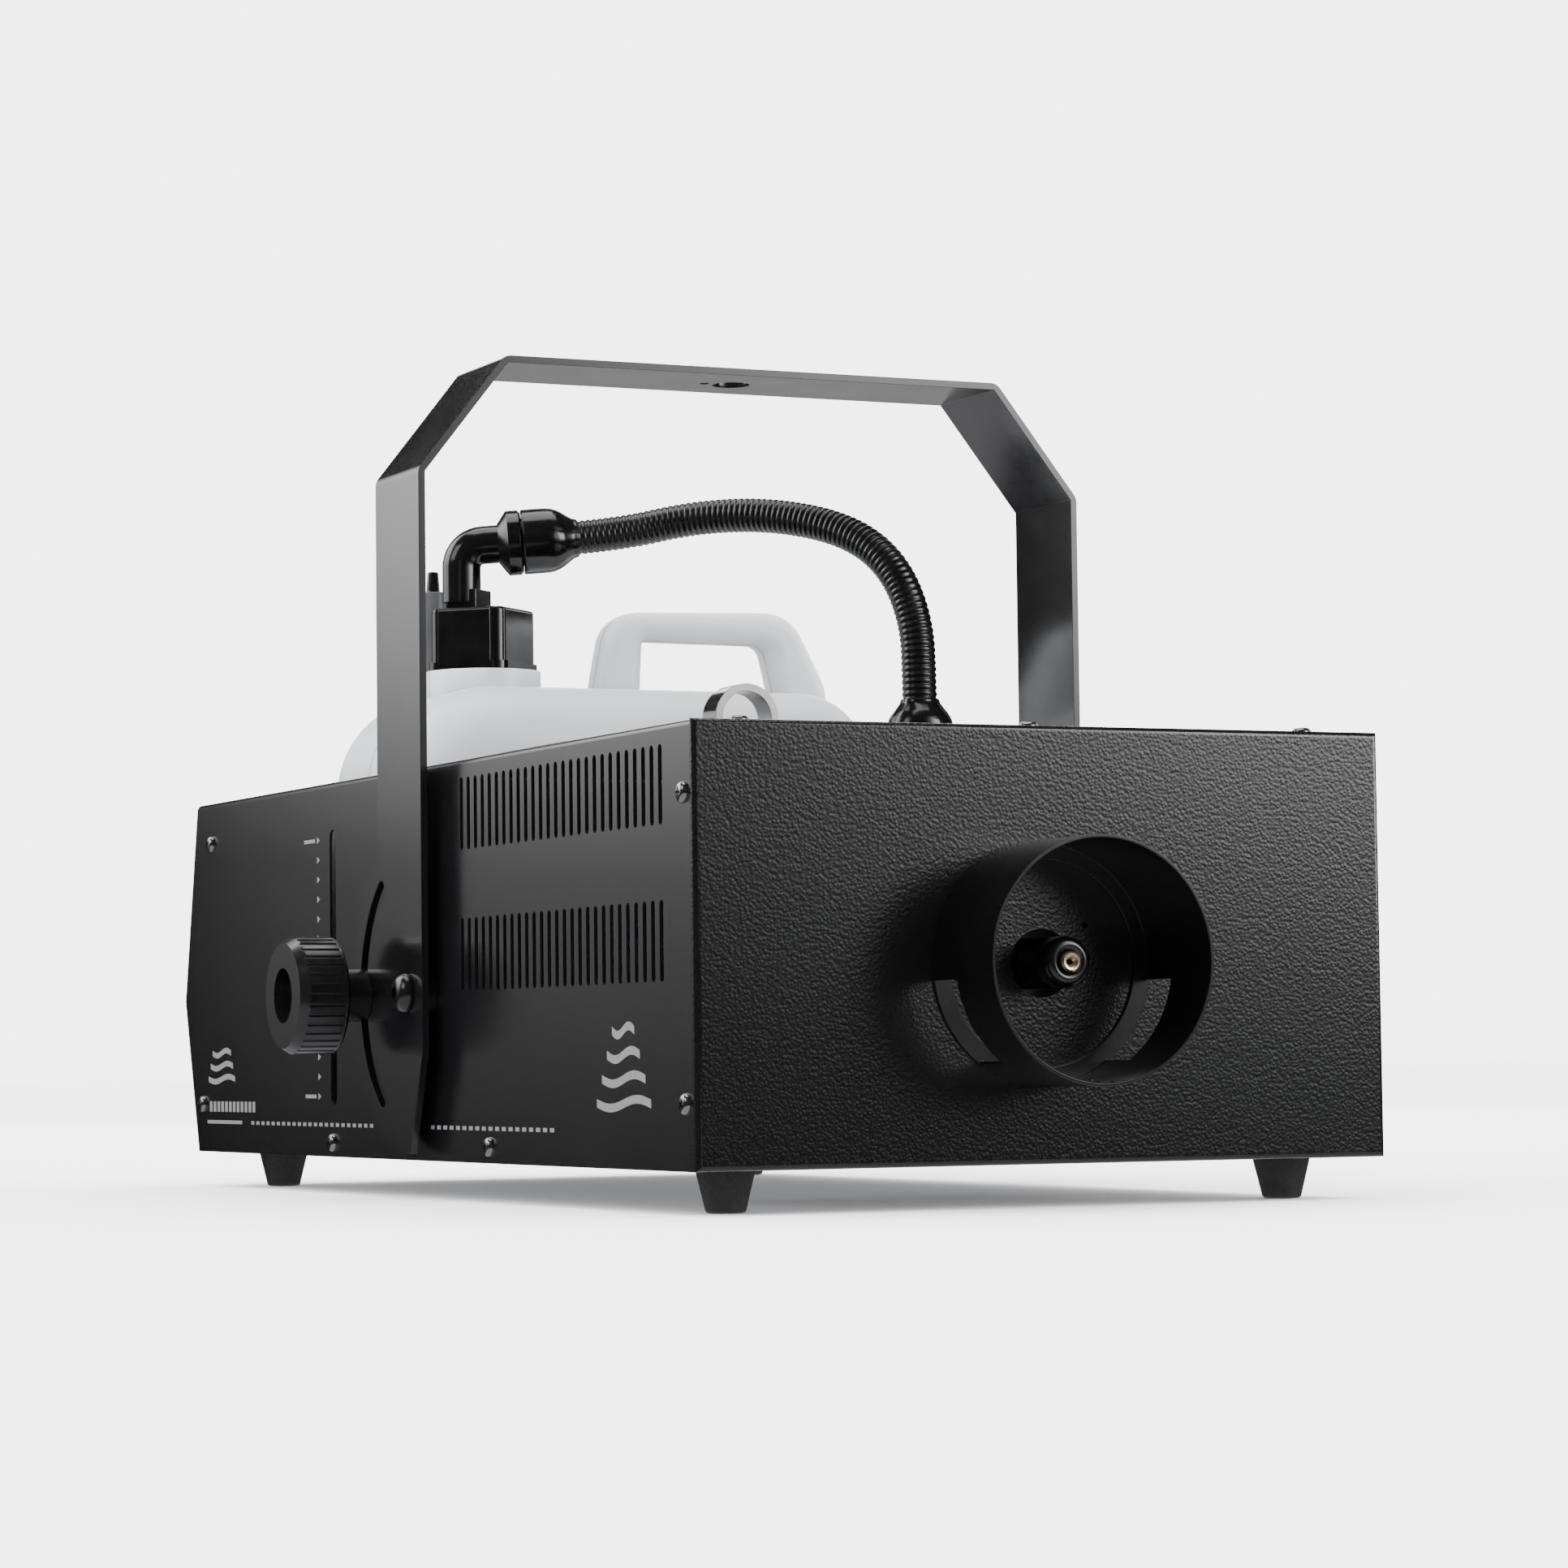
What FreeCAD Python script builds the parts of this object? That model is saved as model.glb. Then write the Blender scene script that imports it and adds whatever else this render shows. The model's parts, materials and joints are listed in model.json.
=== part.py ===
"""Fog machine with an outside fluid tank, a swinging yoke and a round fog outlet.

Millimetres, +Z up. The origin is on the floor, below the middle of the bounding box.
The outlet faces -Y, the control panel faces +Y, and +X is on the right seen from the outlet.
Depths along Y are counted from the front face with back(distance).
"""
import FreeCAD
import Part
import math
import os

Vec = FreeCAD.Vector
X, Y, Z = Vec(1, 0, 0), Vec(0, 1, 0), Vec(0, 0, 1)

# ---- driving dimensions ----
WIDTH = 288.0               # outside width of the housing
HEIGHT = 162.5              # outside height of the housing
DEPTH = 578.0               # front face to the upper and lower rear corners
REAR_VEE = 20.0             # how far the middle of the rear panel stands behind its corners
DUCT_LENGTH = 48.0          # fog outlet in front of the front face
FOOT_HEIGHT = 15.8
SHEET = 1.2                 # steel sheet of the cover and the duct
PLATE = 1.5                 # steel sheet of the base, panels and walls
BEND = 2.5                  # outside radius of a folded edge
PIVOT_DEPTH = 271.0         # yoke pivot behind the front face
PIVOT_Z = 84.5
KNOB_RADIUS = 53.0          # clamp knob from the yoke pivot
YOKE_TRAVEL = 54.0          # degrees either way
YOKE_OUTER = 153.0          # half the outside width of the yoke
YOKE_TOP = 347.4
BAR = 3.0                   # thickness of the yoke's flat bar
KNOB_FACE = 188.6           # half the width over the clamp knobs
HOSE_DIA = 15.2

FRONT_Y = -(DEPTH + REAR_VEE - DUCT_LENGTH) / 2
HALF = WIDTH / 2
BOTTOM = FOOT_HEIGHT
TOP = BOTTOM + HEIGHT
INNER = HALF - SHEET        # inside face of the cover's sides
ROOF = TOP - SHEET          # inside face of the cover's top
FLOOR = BOTTOM + PLATE      # upper face of the base


def back(distance):
    """Y of a place that far behind the front face."""
    return FRONT_Y + distance


def box(x0, x1, y0, y1, z0, z1):
    return Part.makeBox(x1 - x0, y1 - y0, z1 - z0, Vec(x0, y0, z0))


def cylinder(radius, length, start, direction):
    return Part.makeCylinder(radius, length, Vec(*start), direction)


def cone(radius_a, radius_b, length, start, direction):
    return Part.makeCone(radius_a, radius_b, length, Vec(*start), direction)


def ring(outer, inner, length, start, direction):
    return cylinder(outer, length, start, direction).cut(cylinder(inner, length, start, direction))


def join(shapes):
    first, rest = shapes[0], list(shapes[1:])
    return first.multiFuse(rest).removeSplitter() if rest else first


def group(shapes):
    return Part.makeCompound(shapes)


def prism(points, direction):
    """A solid from a closed outline of points, pushed along direction."""
    loop = Part.makePolygon([Vec(*p) for p in points] + [Vec(*points[0])])
    return Part.Face(loop).extrude(direction)


def hexagon(across_flats, length, start, direction):
    """A hexagonal prism whose axis starts at start."""
    corner = across_flats / math.sqrt(3)
    points = [(corner * math.cos(math.radians(60 * i)), corner * math.sin(math.radians(60 * i)), 0)
              for i in range(6)]
    solid = prism(points, Vec(0, 0, length))
    solid.Placement = FreeCAD.Placement(Vec(*start), FreeCAD.Rotation(Z, direction))
    return solid


def turned(profile, start, direction):
    """A solid of revolution from (radius, distance along the axis) pairs."""
    loop = Part.makePolygon([Vec(r, 0, h) for r, h in profile] + [Vec(profile[0][0], 0, profile[0][1])])
    solid = Part.Face(loop).revolve(Vec(0, 0, 0), Z, 360)
    solid.Placement = FreeCAD.Placement(Vec(*start), FreeCAD.Rotation(Z, direction))
    return solid


def side_loop(corners, y):
    """A face in the XZ plane from (x, z, corner radius) entries, listed in order round it."""
    places = [Vec(x, y, z) for x, z, _ in corners]
    starts, edges = [], []
    for i, (corner, entry) in enumerate(zip(places, corners)):
        to_last = (places[i - 1] - corner).normalize()
        to_next = (places[(i + 1) % len(places)] - corner).normalize()
        half = to_last.getAngle(to_next) / 2
        cut_back = entry[2] / math.tan(half)
        middle = corner + (to_last + to_next).normalize() * (entry[2] / math.sin(half) - entry[2])
        starts.append((corner + to_last * cut_back, middle, corner + to_next * cut_back))
    for (start, middle, end), following in zip(starts, starts[1:] + starts[:1]):
        if (end - start).Length > 1e-6:
            edges.append(Part.Arc(start, middle, end).toShape())
        if (following[0] - end).Length > 1e-6:
            edges.append(Part.LineSegment(end, following[0]).toShape())
    return Part.Face(Part.Wire(edges))


def mirrored(shape):
    return shape.mirror(Vec(0, 0, 0), X)


def both_sides(shape):
    return group([shape, mirrored(shape)])


def rounded(solid, radius, wanted):
    """Fillet the edges whose middle point passes the test."""
    edges = [e for e in solid.Edges if wanted(e.valueAt((e.FirstParameter + e.LastParameter) / 2))]
    return solid.makeFillet(radius, edges)


def tube_path(points):
    """Straight runs joined by tangent arcs, with the arcs' radii."""
    nodes = [Vec(*p) for p in points]
    edges, radii, here = [], [], nodes[0]
    for before, corner, after in zip(nodes, nodes[1:], nodes[2:]):
        way_in, way_out = (corner - before), (after - corner)
        shorter = min(way_in.Length, way_out.Length)
        way_in.normalize()
        way_out.normalize()
        half_turn = way_in.getAngle(way_out) / 2
        cut_back = 0.45 * shorter
        radius = cut_back / math.tan(half_turn)
        start, end = corner - way_in * cut_back, corner + way_out * cut_back
        inward = (way_out - way_in).normalize()
        middle = corner + inward * (radius / math.cos(half_turn) - radius)
        edges += [Part.LineSegment(here, start).toShape(), Part.Arc(start, middle, end).toShape()]
        radii.append(radius)
        here = end
    edges.append(Part.LineSegment(here, nodes[-1]).toShape())
    return Part.Wire(edges), radii


def tube(points, outer, inner=0.0):
    """A round tube, or a rod, along the route. Prints its bend radii, length and volume ratio."""
    path, radii = tube_path(points)

    def swept(radius):
        start = path.Edges[0]
        circle = Part.makeCircle(radius, start.valueAt(start.FirstParameter),
                                 start.tangentAt(start.FirstParameter))
        return path.makePipeShell([Part.Wire(circle)], True, False)

    solid = swept(outer)
    section = math.pi * (outer ** 2 - inner ** 2)
    if inner:
        solid = solid.cut(swept(inner))
    print("tube: length %.1f, volume / (section x length) %.3f, radii %s"
          % (path.Length, solid.Volume / (section * path.Length), [round(r) for r in radii]))
    return solid


# ---- housing ----
BAY_LEFT, BAY_RIGHT = -INNER + 0.2, 112.0          # the tank bay inside the housing
BAY_FRONT, BAY_REAR = back(332.0), back(471.0)
VENT_COUNT, VENT_PITCH, VENT_WIDTH = 27, 7.75, 3.5
VENT_ROWS = ((84.2, 114.0), (141.3, 170.7))        # lower and upper ends of the slots
VENT_START = back(29.8)
WINDOW_Y, WINDOW_WIDTH = back(387.5), 8.0
WINDOW_LOW, WINDOW_HIGH = 38.0, 157.5
VEE_Z = 86.0                                       # level of the rear panel's ridge
LIP = 3.0                                          # visible depth of the front tray's edge
FLANGE = 24.0                                      # how far the front tray reaches under the cover
SIDE_SCREWS = ((9.0, 152.0), (9.0, 40.0), (203.0, 22.4), (389.0, 22.0), (557.0, 159.0), (571.0, 38.0))
TOP_SCREW_X, TOP_SCREW_DEPTH = (-119.0, 0.0, 119.0), 15.0
GLAND_X, GLAND_DEPTH = 83.0, 270.0
EYE_DEPTH = 275.0


def side_outline(inset, front, low, high):
    """Side view of the housing, drawn in from its rear edge by inset."""
    corner = back(DEPTH) - inset
    return [(0, front, low), (0, corner, low), (0, corner + REAR_VEE, VEE_Z), (0, corner, high),
            (0, front, high)]


def housing_block(half_width, inset, front, low, high):
    block = prism(side_outline(inset, front, low, high), Vec(2 * half_width, 0, 0))
    block.translate(Vec(-half_width, 0, 0))
    return block


def slot_cutter(y, width, low, high):
    """An upright round-ended slot through both sides of the housing."""
    radius = width / 2
    reach = 2 * HALF + 10
    start = -HALF - 5
    straight = box(start, start + reach, y - radius, y + radius, low + radius, high - radius)
    ends = [cylinder(radius, reach, (start, y, z), X) for z in (low + radius, high - radius)]
    return join([straight] + ends)


def cover():
    shell = housing_block(HALF, 0, back(LIP), BOTTOM, TOP)
    shell = rounded(shell, BEND, lambda p: abs(abs(p.x) - HALF) < 0.1 and abs(p.z - TOP) < 0.1)
    shell = shell.cut(housing_block(INNER, -5, back(LIP) - 5, BOTTOM - 5, ROOF))
    cutters = [slot_cutter(VENT_START + i * VENT_PITCH, VENT_WIDTH, low, high)
               for i in range(VENT_COUNT) for low, high in VENT_ROWS]
    left_window = slot_cutter(WINDOW_Y, WINDOW_WIDTH, WINDOW_LOW, WINDOW_HIGH)
    cutters.append(left_window.common(box(-HALF - 9, 0, back(300), back(450), 0, 200)))
    cutters.append(box(BAY_LEFT + 9, BAY_RIGHT - 2, BAY_FRONT + 1, BAY_REAR - 1, ROOF - 9, TOP + 9))
    cutters += [cylinder(2.2, 2 * HALF + 20, (-HALF - 10, back(y), z), X) for y, z in SIDE_SCREWS]
    cutters += [cylinder(2.2, 20, (x, back(TOP_SCREW_DEPTH), TOP - 10), Z) for x in TOP_SCREW_X]
    cutters += [cylinder(4.2, 2 * HALF + 20, (-HALF - 10, back(y), PIVOT_Z), X)
                for y in (PIVOT_DEPTH, PIVOT_DEPTH + KNOB_RADIUS)]
    cutters.append(cylinder(10.2, 20, (GLAND_X, back(GLAND_DEPTH), TOP - 10), Z))
    cutters.append(cylinder(4.2, 20, (0, back(EYE_DEPTH), TOP - 10), Z))
    return shell.cut(group(cutters))


FRONT_BASE = BOTTOM + 0.4                           # under edge of the front tray's flange
DUCT_X, DUCT_Z, DUCT_RADIUS = -4.0, 90.0, 45.5
NOZZLE_HOLE = 12.7


def front_panel():
    """A shallow tray: the textured face, its short lip, and a flange set in under the cover."""
    outer = box(-HALF, HALF, FRONT_Y, back(LIP - 0.1), BOTTOM, TOP)
    outer = rounded(outer, BEND, lambda p: p.y < FRONT_Y + 0.1)
    hollow = box(-HALF + PLATE, HALF - PLATE, FRONT_Y + PLATE, back(LIP), BOTTOM + PLATE, TOP - PLATE)
    clear = 0.1
    rim = box(-INNER + clear, INNER - clear, FRONT_Y + PLATE, back(FLANGE), FRONT_BASE, ROOF - clear)
    rim = rim.cut(box(-INNER + PLATE, INNER - PLATE, FRONT_Y, back(FLANGE) + 1, 0, ROOF - PLATE))
    panel = join([outer.cut(hollow), rim])
    cutters = [cylinder(2.0, 2 * HALF + 20, (-HALF - 10, back(y), z), X) for y, z in SIDE_SCREWS[:2]]
    cutters += [cylinder(2.0, 20, (x, back(TOP_SCREW_DEPTH), ROOF - 10), Z) for x in TOP_SCREW_X]
    cutters.append(cylinder(NOZZLE_HOLE, 20, (DUCT_X, FRONT_Y - 5, DUCT_Z), Y))
    cutters.append(cylinder(1.2, 20, (14.4, FRONT_Y - 5, 104.0), Y))
    cutters.append(box(-INNER - 1, INNER + 1, back(LIP), back(FLANGE) + 1, BOTTOM - 1, FLOOR + 0.2))
    return panel.cut(group(cutters))


def base_pan():
    """The floor plate with folded-up edges inside the cover."""
    clear = 0.2
    front, rear = back(LIP + 0.5), back(DEPTH - 3.0 - PLATE)
    pan = box(-INNER + clear, INNER - clear, front, rear, BOTTOM, BOTTOM + 14)
    pan = pan.cut(box(-INNER + PLATE, INNER - PLATE, front - 1, rear + 1, FLOOR, BOTTOM + 20))
    pan = pan.cut(box(-HALF, HALF, front - 1, back(FLANGE + 0.5), FLOOR, BOTTOM + 20))
    cutters = [cylinder(2.0, 2 * HALF + 20, (-HALF - 10, back(y), z), X) for y, z in SIDE_SCREWS[2:4]]
    cutters += [cylinder(2.6, 20, (sx * FOOT_X, back(y), BOTTOM - 5), Z) for sx in (-1, 1) for y in FOOT_DEPTHS]
    cutters += [box(-60, 60, back(60 + 16 * i), back(66 + 16 * i), BOTTOM - 1, FLOOR + 1) for i in range(8)]
    return pan.cut(group(cutters))


def wall(x0, x1, y0, y1, z0, z1, holes=()):
    plate = box(x0, x1, y0, y1, z0, z1)
    return plate.cut(group(list(holes))) if holes else plate


WALL_LOW, WALL_HIGH = BOTTOM + 14.2, ROOF - 0.2


def bay_front_wall():
    cable_hole = cylinder(9.0, 20, (124.0, BAY_FRONT - 5, 60.0), Y)
    return wall(-INNER + 0.2, INNER - 0.2, BAY_FRONT, BAY_FRONT + SHEET, WALL_LOW, WALL_HIGH, [cable_hole])


def bay_rear_wall():
    cable_hole = cylinder(9.0, 20, (124.0, BAY_REAR - 5, 60.0), Y)
    return wall(-INNER + 0.2, INNER - 0.2, BAY_REAR, BAY_REAR + SHEET, WALL_LOW, WALL_HIGH, [cable_hole])


def bay_side_wall():
    clear = 0.2
    return wall(BAY_RIGHT, BAY_RIGHT + SHEET, BAY_FRONT + SHEET + clear, BAY_REAR - clear, FLOOR, WALL_HIGH)


TANK_FLOOR = 26.0


def tank_shelf():
    """A folded channel that carries the tank above the base."""
    clear = 0.5
    x0, x1 = -INNER + PLATE + 0.3, BAY_RIGHT - clear
    y0, y1 = BAY_FRONT + SHEET + clear, BAY_REAR - clear
    shelf = box(x0, x1, y0, y1, FLOOR, TANK_FLOOR)
    return shelf.cut(box(x0 - 1, x1 + 1, y0 + PLATE, y1 - PLATE, FLOOR - 1, TANK_FLOOR - PLATE))


# ---- rear panel: two flat faces that meet at the ridge ----
UPPER_TILT = math.degrees(math.atan2(REAR_VEE, TOP - VEE_Z))
LOWER_TILT = math.degrees(math.atan2(REAR_VEE, VEE_Z - BOTTOM))


class Face:
    """A flat half of the rear panel: places on it are (x, height z), and out is its normal."""

    def __init__(self, tilt):
        angle = math.radians(tilt)
        self.out = Vec(0, math.cos(angle), math.sin(angle))
        self.slope = -math.tan(angle)

    def at(self, x, z, proud=0.0):
        return Vec(x, back(DEPTH + REAR_VEE) + self.slope * (z - VEE_Z), z) + self.out * proud

    def place(self, solid, x, z, proud=0.0):
        """Stand a solid that was made along +Z at the origin on this face, its +Y pointing up."""
        moved = solid.copy()
        turn = FreeCAD.Rotation(-X, Vec(0, -self.out.z, self.out.y), self.out, "ZXY")
        moved.Placement = FreeCAD.Placement(self.at(x, z, proud), turn)
        return moved


UPPER = Face(UPPER_TILT)
LOWER = Face(-LOWER_TILT)
PANEL_GAP = 0.3                                     # rear panel to the cover's sides
BUTTON_X = (-30.0, -10.0, 10.0, 30.0)
BUTTON_Z, DISPLAY_Z = 110.0, 142.0
DISPLAY_SIZE = (66.0, 20.0)
ROCKER_X, INLET_X, DMX_IN_X, DMX_OUT_X = 70.0, 112.0, -96.0, -56.0
SOCKET_Z = 52.0
BUTTON_HOLE, DMX_HOLE = 4.3, 11.8
ROCKER_HOLE, INLET_HOLE = (19.4, 28.4), (28.0, 31.0)


def plate_cutter(width, height):
    return box(-width / 2, width / 2, -height / 2, height / 2, -30, 30)


def rear_panel():
    """The folded rear plate with side flanges for its screws."""
    outer = housing_block(INNER - PANEL_GAP, 0.0, back(DEPTH - 34), BOTTOM + 0.4, ROOF - 0.3)
    inner = housing_block(INNER - PANEL_GAP - PLATE, PLATE, back(DEPTH - 40), BOTTOM - 5, TOP + 5)
    panel = outer.cut(inner)
    panel = panel.cut(box(-HALF, HALF, back(DEPTH - 40), back(DEPTH - 3), BOTTOM - 2, BOTTOM + 14.4))
    cutters = [cylinder(2.0, 2 * HALF + 20, (-HALF - 10, back(y), z), X) for y, z in SIDE_SCREWS[4:]]
    cutters.append(UPPER.place(plate_cutter(*DISPLAY_SIZE), 0, DISPLAY_Z))
    cutters += [UPPER.place(cylinder(BUTTON_HOLE, 60, (0, 0, -30), Z), x, BUTTON_Z) for x in BUTTON_X]
    cutters.append(LOWER.place(plate_cutter(*ROCKER_HOLE), ROCKER_X, SOCKET_Z))
    cutters.append(LOWER.place(plate_cutter(*INLET_HOLE), INLET_X, SOCKET_Z))
    cutters += [LOWER.place(cylinder(DMX_HOLE, 60, (0, 0, -30), Z), x, SOCKET_Z) for x in (DMX_IN_X, DMX_OUT_X)]
    return panel.cut(group(cutters))


def control_board():
    """The board behind the display and the buttons."""
    board = box(-45, 45, -32, 26, -13.6, -12.0)
    switches = [box(x - 3, x + 3, -22 - 3, -22 + 3, -12.0, -8.5) for x in BUTTON_X]
    screen = box(-31, 31, 2, 20, -12.0, -3.2)
    posts = [cylinder(2.5, 12.0 - PLATE - 0.1, (sx * 41, sy, -12.0), Z) for sx in (-1, 1) for sy in (-28, 22)]
    z_mid = BUTTON_Z + 22 * math.cos(math.radians(UPPER_TILT))
    return UPPER.place(join([board, screen] + switches + posts), 0, z_mid)


def display_window():
    """A clear pane with a frame that snaps into the rear panel."""
    width, height = DISPLAY_SIZE
    rim = box(-width / 2 - 3, width / 2 + 3, -height / 2 - 3, height / 2 + 3, 0.05, 1.2)
    plug = box(-width / 2 + 0.2, width / 2 - 0.2, -height / 2 + 0.2, height / 2 - 0.2, -1.8, 0.05)
    return UPPER.place(join([rim, plug]), 0, DISPLAY_Z)


BUTTON_TRAVEL = 0.8


def menu_button(x):
    """A round push button with a flange that keeps it behind the panel."""
    cap = join([cylinder(4.0, 7.0, (0, 0, -4.4), Z), cylinder(5.2, 1.4, (0, 0, -4.4), Z),
                cylinder(1.5, 2.8, (0, 0, -7.2), Z)])
    return UPPER.place(cap, x, BUTTON_Z)


def rocker_bezel():
    hole_w, hole_h = ROCKER_HOLE
    frame = box(-hole_w / 2 - 1.5, hole_w / 2 + 1.5, -hole_h / 2 - 1.5, hole_h / 2 + 1.5, 0.05, 2.0)
    body = box(-hole_w / 2 + 0.1, hole_w / 2 - 0.1, -hole_h / 2 + 0.1, hole_h / 2 - 0.1, -22, 0.05)
    well = box(-7.2, 7.2, -11.6, 11.6, -10, 5)
    pins = [box(-3, 3, y - 0.4, y + 0.4, -32, -22) for y in (-8, 0, 8)]
    return LOWER.place(join([frame, body] + pins).cut(well), ROCKER_X, SOCKET_Z)


ROCKER_AXIS = -3.0                                   # below the panel's face
ROCKER_THROW = 9.0


def power_rocker():
    """The rocker as a rounded wedge, at rest in its off position."""
    drum = cylinder(11.0, 13.6, (-6.8, 0, ROCKER_AXIS), X)
    drum = drum.common(box(-8, 8, -10.6, 10.6, ROCKER_AXIS - 4.0, 4.2))
    notch = prism([(-8, -12, 7.6), (-8, 0, 1.8), (-8, 12, 7.6)], Vec(16, 0, 0))
    rocker = drum.cut(notch)
    rocker.rotate(Vec(0, 0, ROCKER_AXIS), X, ROCKER_THROW)
    return LOWER.place(rocker, ROCKER_X, SOCKET_Z)


def power_inlet():
    """A mains inlet of the C14 kind with a pocket for its fuse drawer."""
    flange = box(-20, 20, -17, 18, 0.05, 3.0)
    body = box(-13.6, 13.6, -15.2, 15.2, -26, 0.05)
    well = box(-12.2, 12.2, -13.4, 3.4, -17, 5)
    drawer_well = box(-12.2, 12.2, 5.4, 14.2, -22, 5)
    shell = join([flange, body]).cut(group([well, drawer_well]))
    blades = [box(x - 2.0, x + 2.0, y - 1, y + 1, -17.5, -5.0) for x, y in ((-7, -7), (0, -2.5), (7, -7))]
    return LOWER.place(join([shell] + blades), INLET_X, SOCKET_Z)


def fuse_drawer():
    tray = box(-11.9, 11.9, 5.7, 13.9, -20, 3.6)
    pocket = box(-9, 9, 7.2, 12.4, -18, 0)
    return LOWER.place(tray.cut(pocket), INLET_X, SOCKET_Z)


def dmx_socket(x, pins_out):
    """A three-pole round signal socket: pins in a well, or three holes in a face."""
    flange = box(-13, 13, -15.5, 15.5, 0.05, 2.0)
    body = cylinder(11.5, 24.05, (0, 0, -24), Z)
    shell = join([flange, body])
    angles = [math.radians(a) for a in (30, 150, 270)]
    spots = [(5.0 * math.cos(a), 5.0 * math.sin(a)) for a in angles]
    if pins_out:
        shell = shell.cut(cylinder(9.3, 20, (0, 0, -14), Z))
        shell = join([shell] + [cylinder(1.2, 9.2, (px, py, -14.2), Z) for px, py in spots])
    else:
        shell = shell.cut(ring(9.5, 8.4, 20, (0, 0, -10), Z))
        shell = shell.cut(group([cylinder(1.3, 20, (px, py, -12), Z) for px, py in spots]))
    screws = [cylinder(1.6, 1.2, (sx * 9.6, -sx * 12.0, 2.0), Z) for sx in (-1, 1)]
    return LOWER.place(join([shell] + screws), x, SOCKET_Z)


def power_board():
    """The switching board on posts above the base."""
    y0, y1 = back(484), back(560)
    board = box(-120, 20, y0, y1, 34.0, 35.6)
    posts = [cylinder(3, 34.0 - FLOOR, (x, y, FLOOR), Z) for x in (-114, 14) for y in (y0 + 6, y1 - 6)]
    parts = [box(-112, -84, y0 + 12, y0 + 40, 35.6, 62.0), box(-72, -58, y0 + 20, y0 + 50, 35.6, 56.0),
             cylinder(8, 26, (-36, y0 + 24, 35.6), Z), box(-16, 10, y0 + 14, y0 + 34, 35.6, 50.0)]
    return join([board] + posts + parts)


# ---- fasteners and feet ----
FOOT_X, FOOT_DEPTHS = 117.8, (34.0, 532.6)


def pan_screw(place, direction, head=4.0, rise=2.5, shank=2.0, length=7.0):
    """A pan-head screw seated on a face: the head stands up along direction."""
    dome = cone(head, head * 0.7, rise, place, direction)
    stem = cylinder(shank, length, tuple(Vec(*place) - direction * length), direction)
    cross = [box(-2.0, 2.0, -0.45, 0.45, rise - 1.2, rise + 1), box(-0.45, 0.45, -2.0, 2.0, rise - 1.2, rise + 1)]
    recess = group(cross)
    recess.Placement = FreeCAD.Placement(Vec(*place), FreeCAD.Rotation(Z, direction))
    return join([dome, stem]).cut(recess)


def cover_screws():
    screws = [pan_screw((side * HALF, back(y), z), X * side) for side in (-1, 1) for y, z in SIDE_SCREWS]
    screws += [pan_screw((x, back(TOP_SCREW_DEPTH), TOP), Z) for x in TOP_SCREW_X]
    return group(screws)


def foot_places():
    return [(sx * FOOT_X, back(y)) for sx in (-1, 1) for y in FOOT_DEPTHS]


def rubber_feet():
    feet = [turned([(0, 0), (6.9, 0), (7.5, 0.6), (11.2, FOOT_HEIGHT), (0, FOOT_HEIGHT)], (x, y, 0), Z)
            for x, y in foot_places()]
    bores = [join([cylinder(4.6, 5.0, (x, y, -1), Z), cylinder(2.6, 20, (x, y, 0), Z)])
             for x, y in foot_places()]
    return group([foot.cut(bore) for foot, bore in zip(feet, bores)])


def foot_screws():
    return group([join([cylinder(4.4, 2.6, (x, y, 4.0 - 2.6), Z), cylinder(2.5, 18.0, (x, y, 4.0), Z),
                        hexagon(8.0, 4.0, (x, y, FLOOR), Z)])
                  for x, y in foot_places()])


# ---- fog outlet and heater ----
NOZZLE_FRONT = -22.0                                 # sleeve's end, in front of the front face


def outlet_duct():
    """The round duct with two windows low in its wall, close to the panel."""
    duct = ring(DUCT_RADIUS, DUCT_RADIUS - SHEET, DUCT_LENGTH, (DUCT_X, back(-DUCT_LENGTH), DUCT_Z), Y)
    root = ring(DUCT_RADIUS, DUCT_RADIUS - 7.0, SHEET, (DUCT_X, back(-SHEET), DUCT_Z), Y)
    windows = []
    for side in (-1, 1):
        wedge = [(0, 0, 0)]
        for degrees in (8, 31, 54):
            angle = math.radians(degrees)
            wedge.append((side * 60 * math.cos(angle), 0, -60 * math.sin(angle)))
        window = prism(wedge, Vec(0, 19.0 - SHEET, 0))
        window.translate(Vec(DUCT_X, back(-19.0), DUCT_Z))
        windows.append(window)
    return join([duct, root]).cut(group(windows))


def nozzle_sleeve():
    return ring(9.4, 5.3, 42.0, (DUCT_X, back(NOZZLE_FRONT), DUCT_Z), Y)


def nozzle_tip():
    """The brass jet screwed into the heater, with its small bore."""
    tip = join([cylinder(5.2, 50.0, (DUCT_X, back(NOZZLE_FRONT - 1.5), DUCT_Z), Y),
                hexagon(12.0, 5.0, (DUCT_X, back(24.6), DUCT_Z), Y)])
    return tip.cut(cylinder(1.2, 60, (DUCT_X, back(-40), DUCT_Z), Y))


HEATER_FRONT, HEATER_REAR = 29.8, 214.0
HEATER_HALF, HEATER_LOW, HEATER_HIGH = 42.0, 58.0, 122.0
HEATER_INLET_Z = 76.0


def heater_plate():
    """The inner plate just behind the panel's hole, which the sleeve stands on."""
    plate = box(-60, 52, back(20.2), back(21.8), FLOOR, 140.0)
    foot = box(-60, 52, back(20.2), back(34), FLOOR, FLOOR + PLATE)
    return join([plate, foot]).cut(cylinder(5.4, 20, (DUCT_X, back(15), DUCT_Z), Y))


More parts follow.
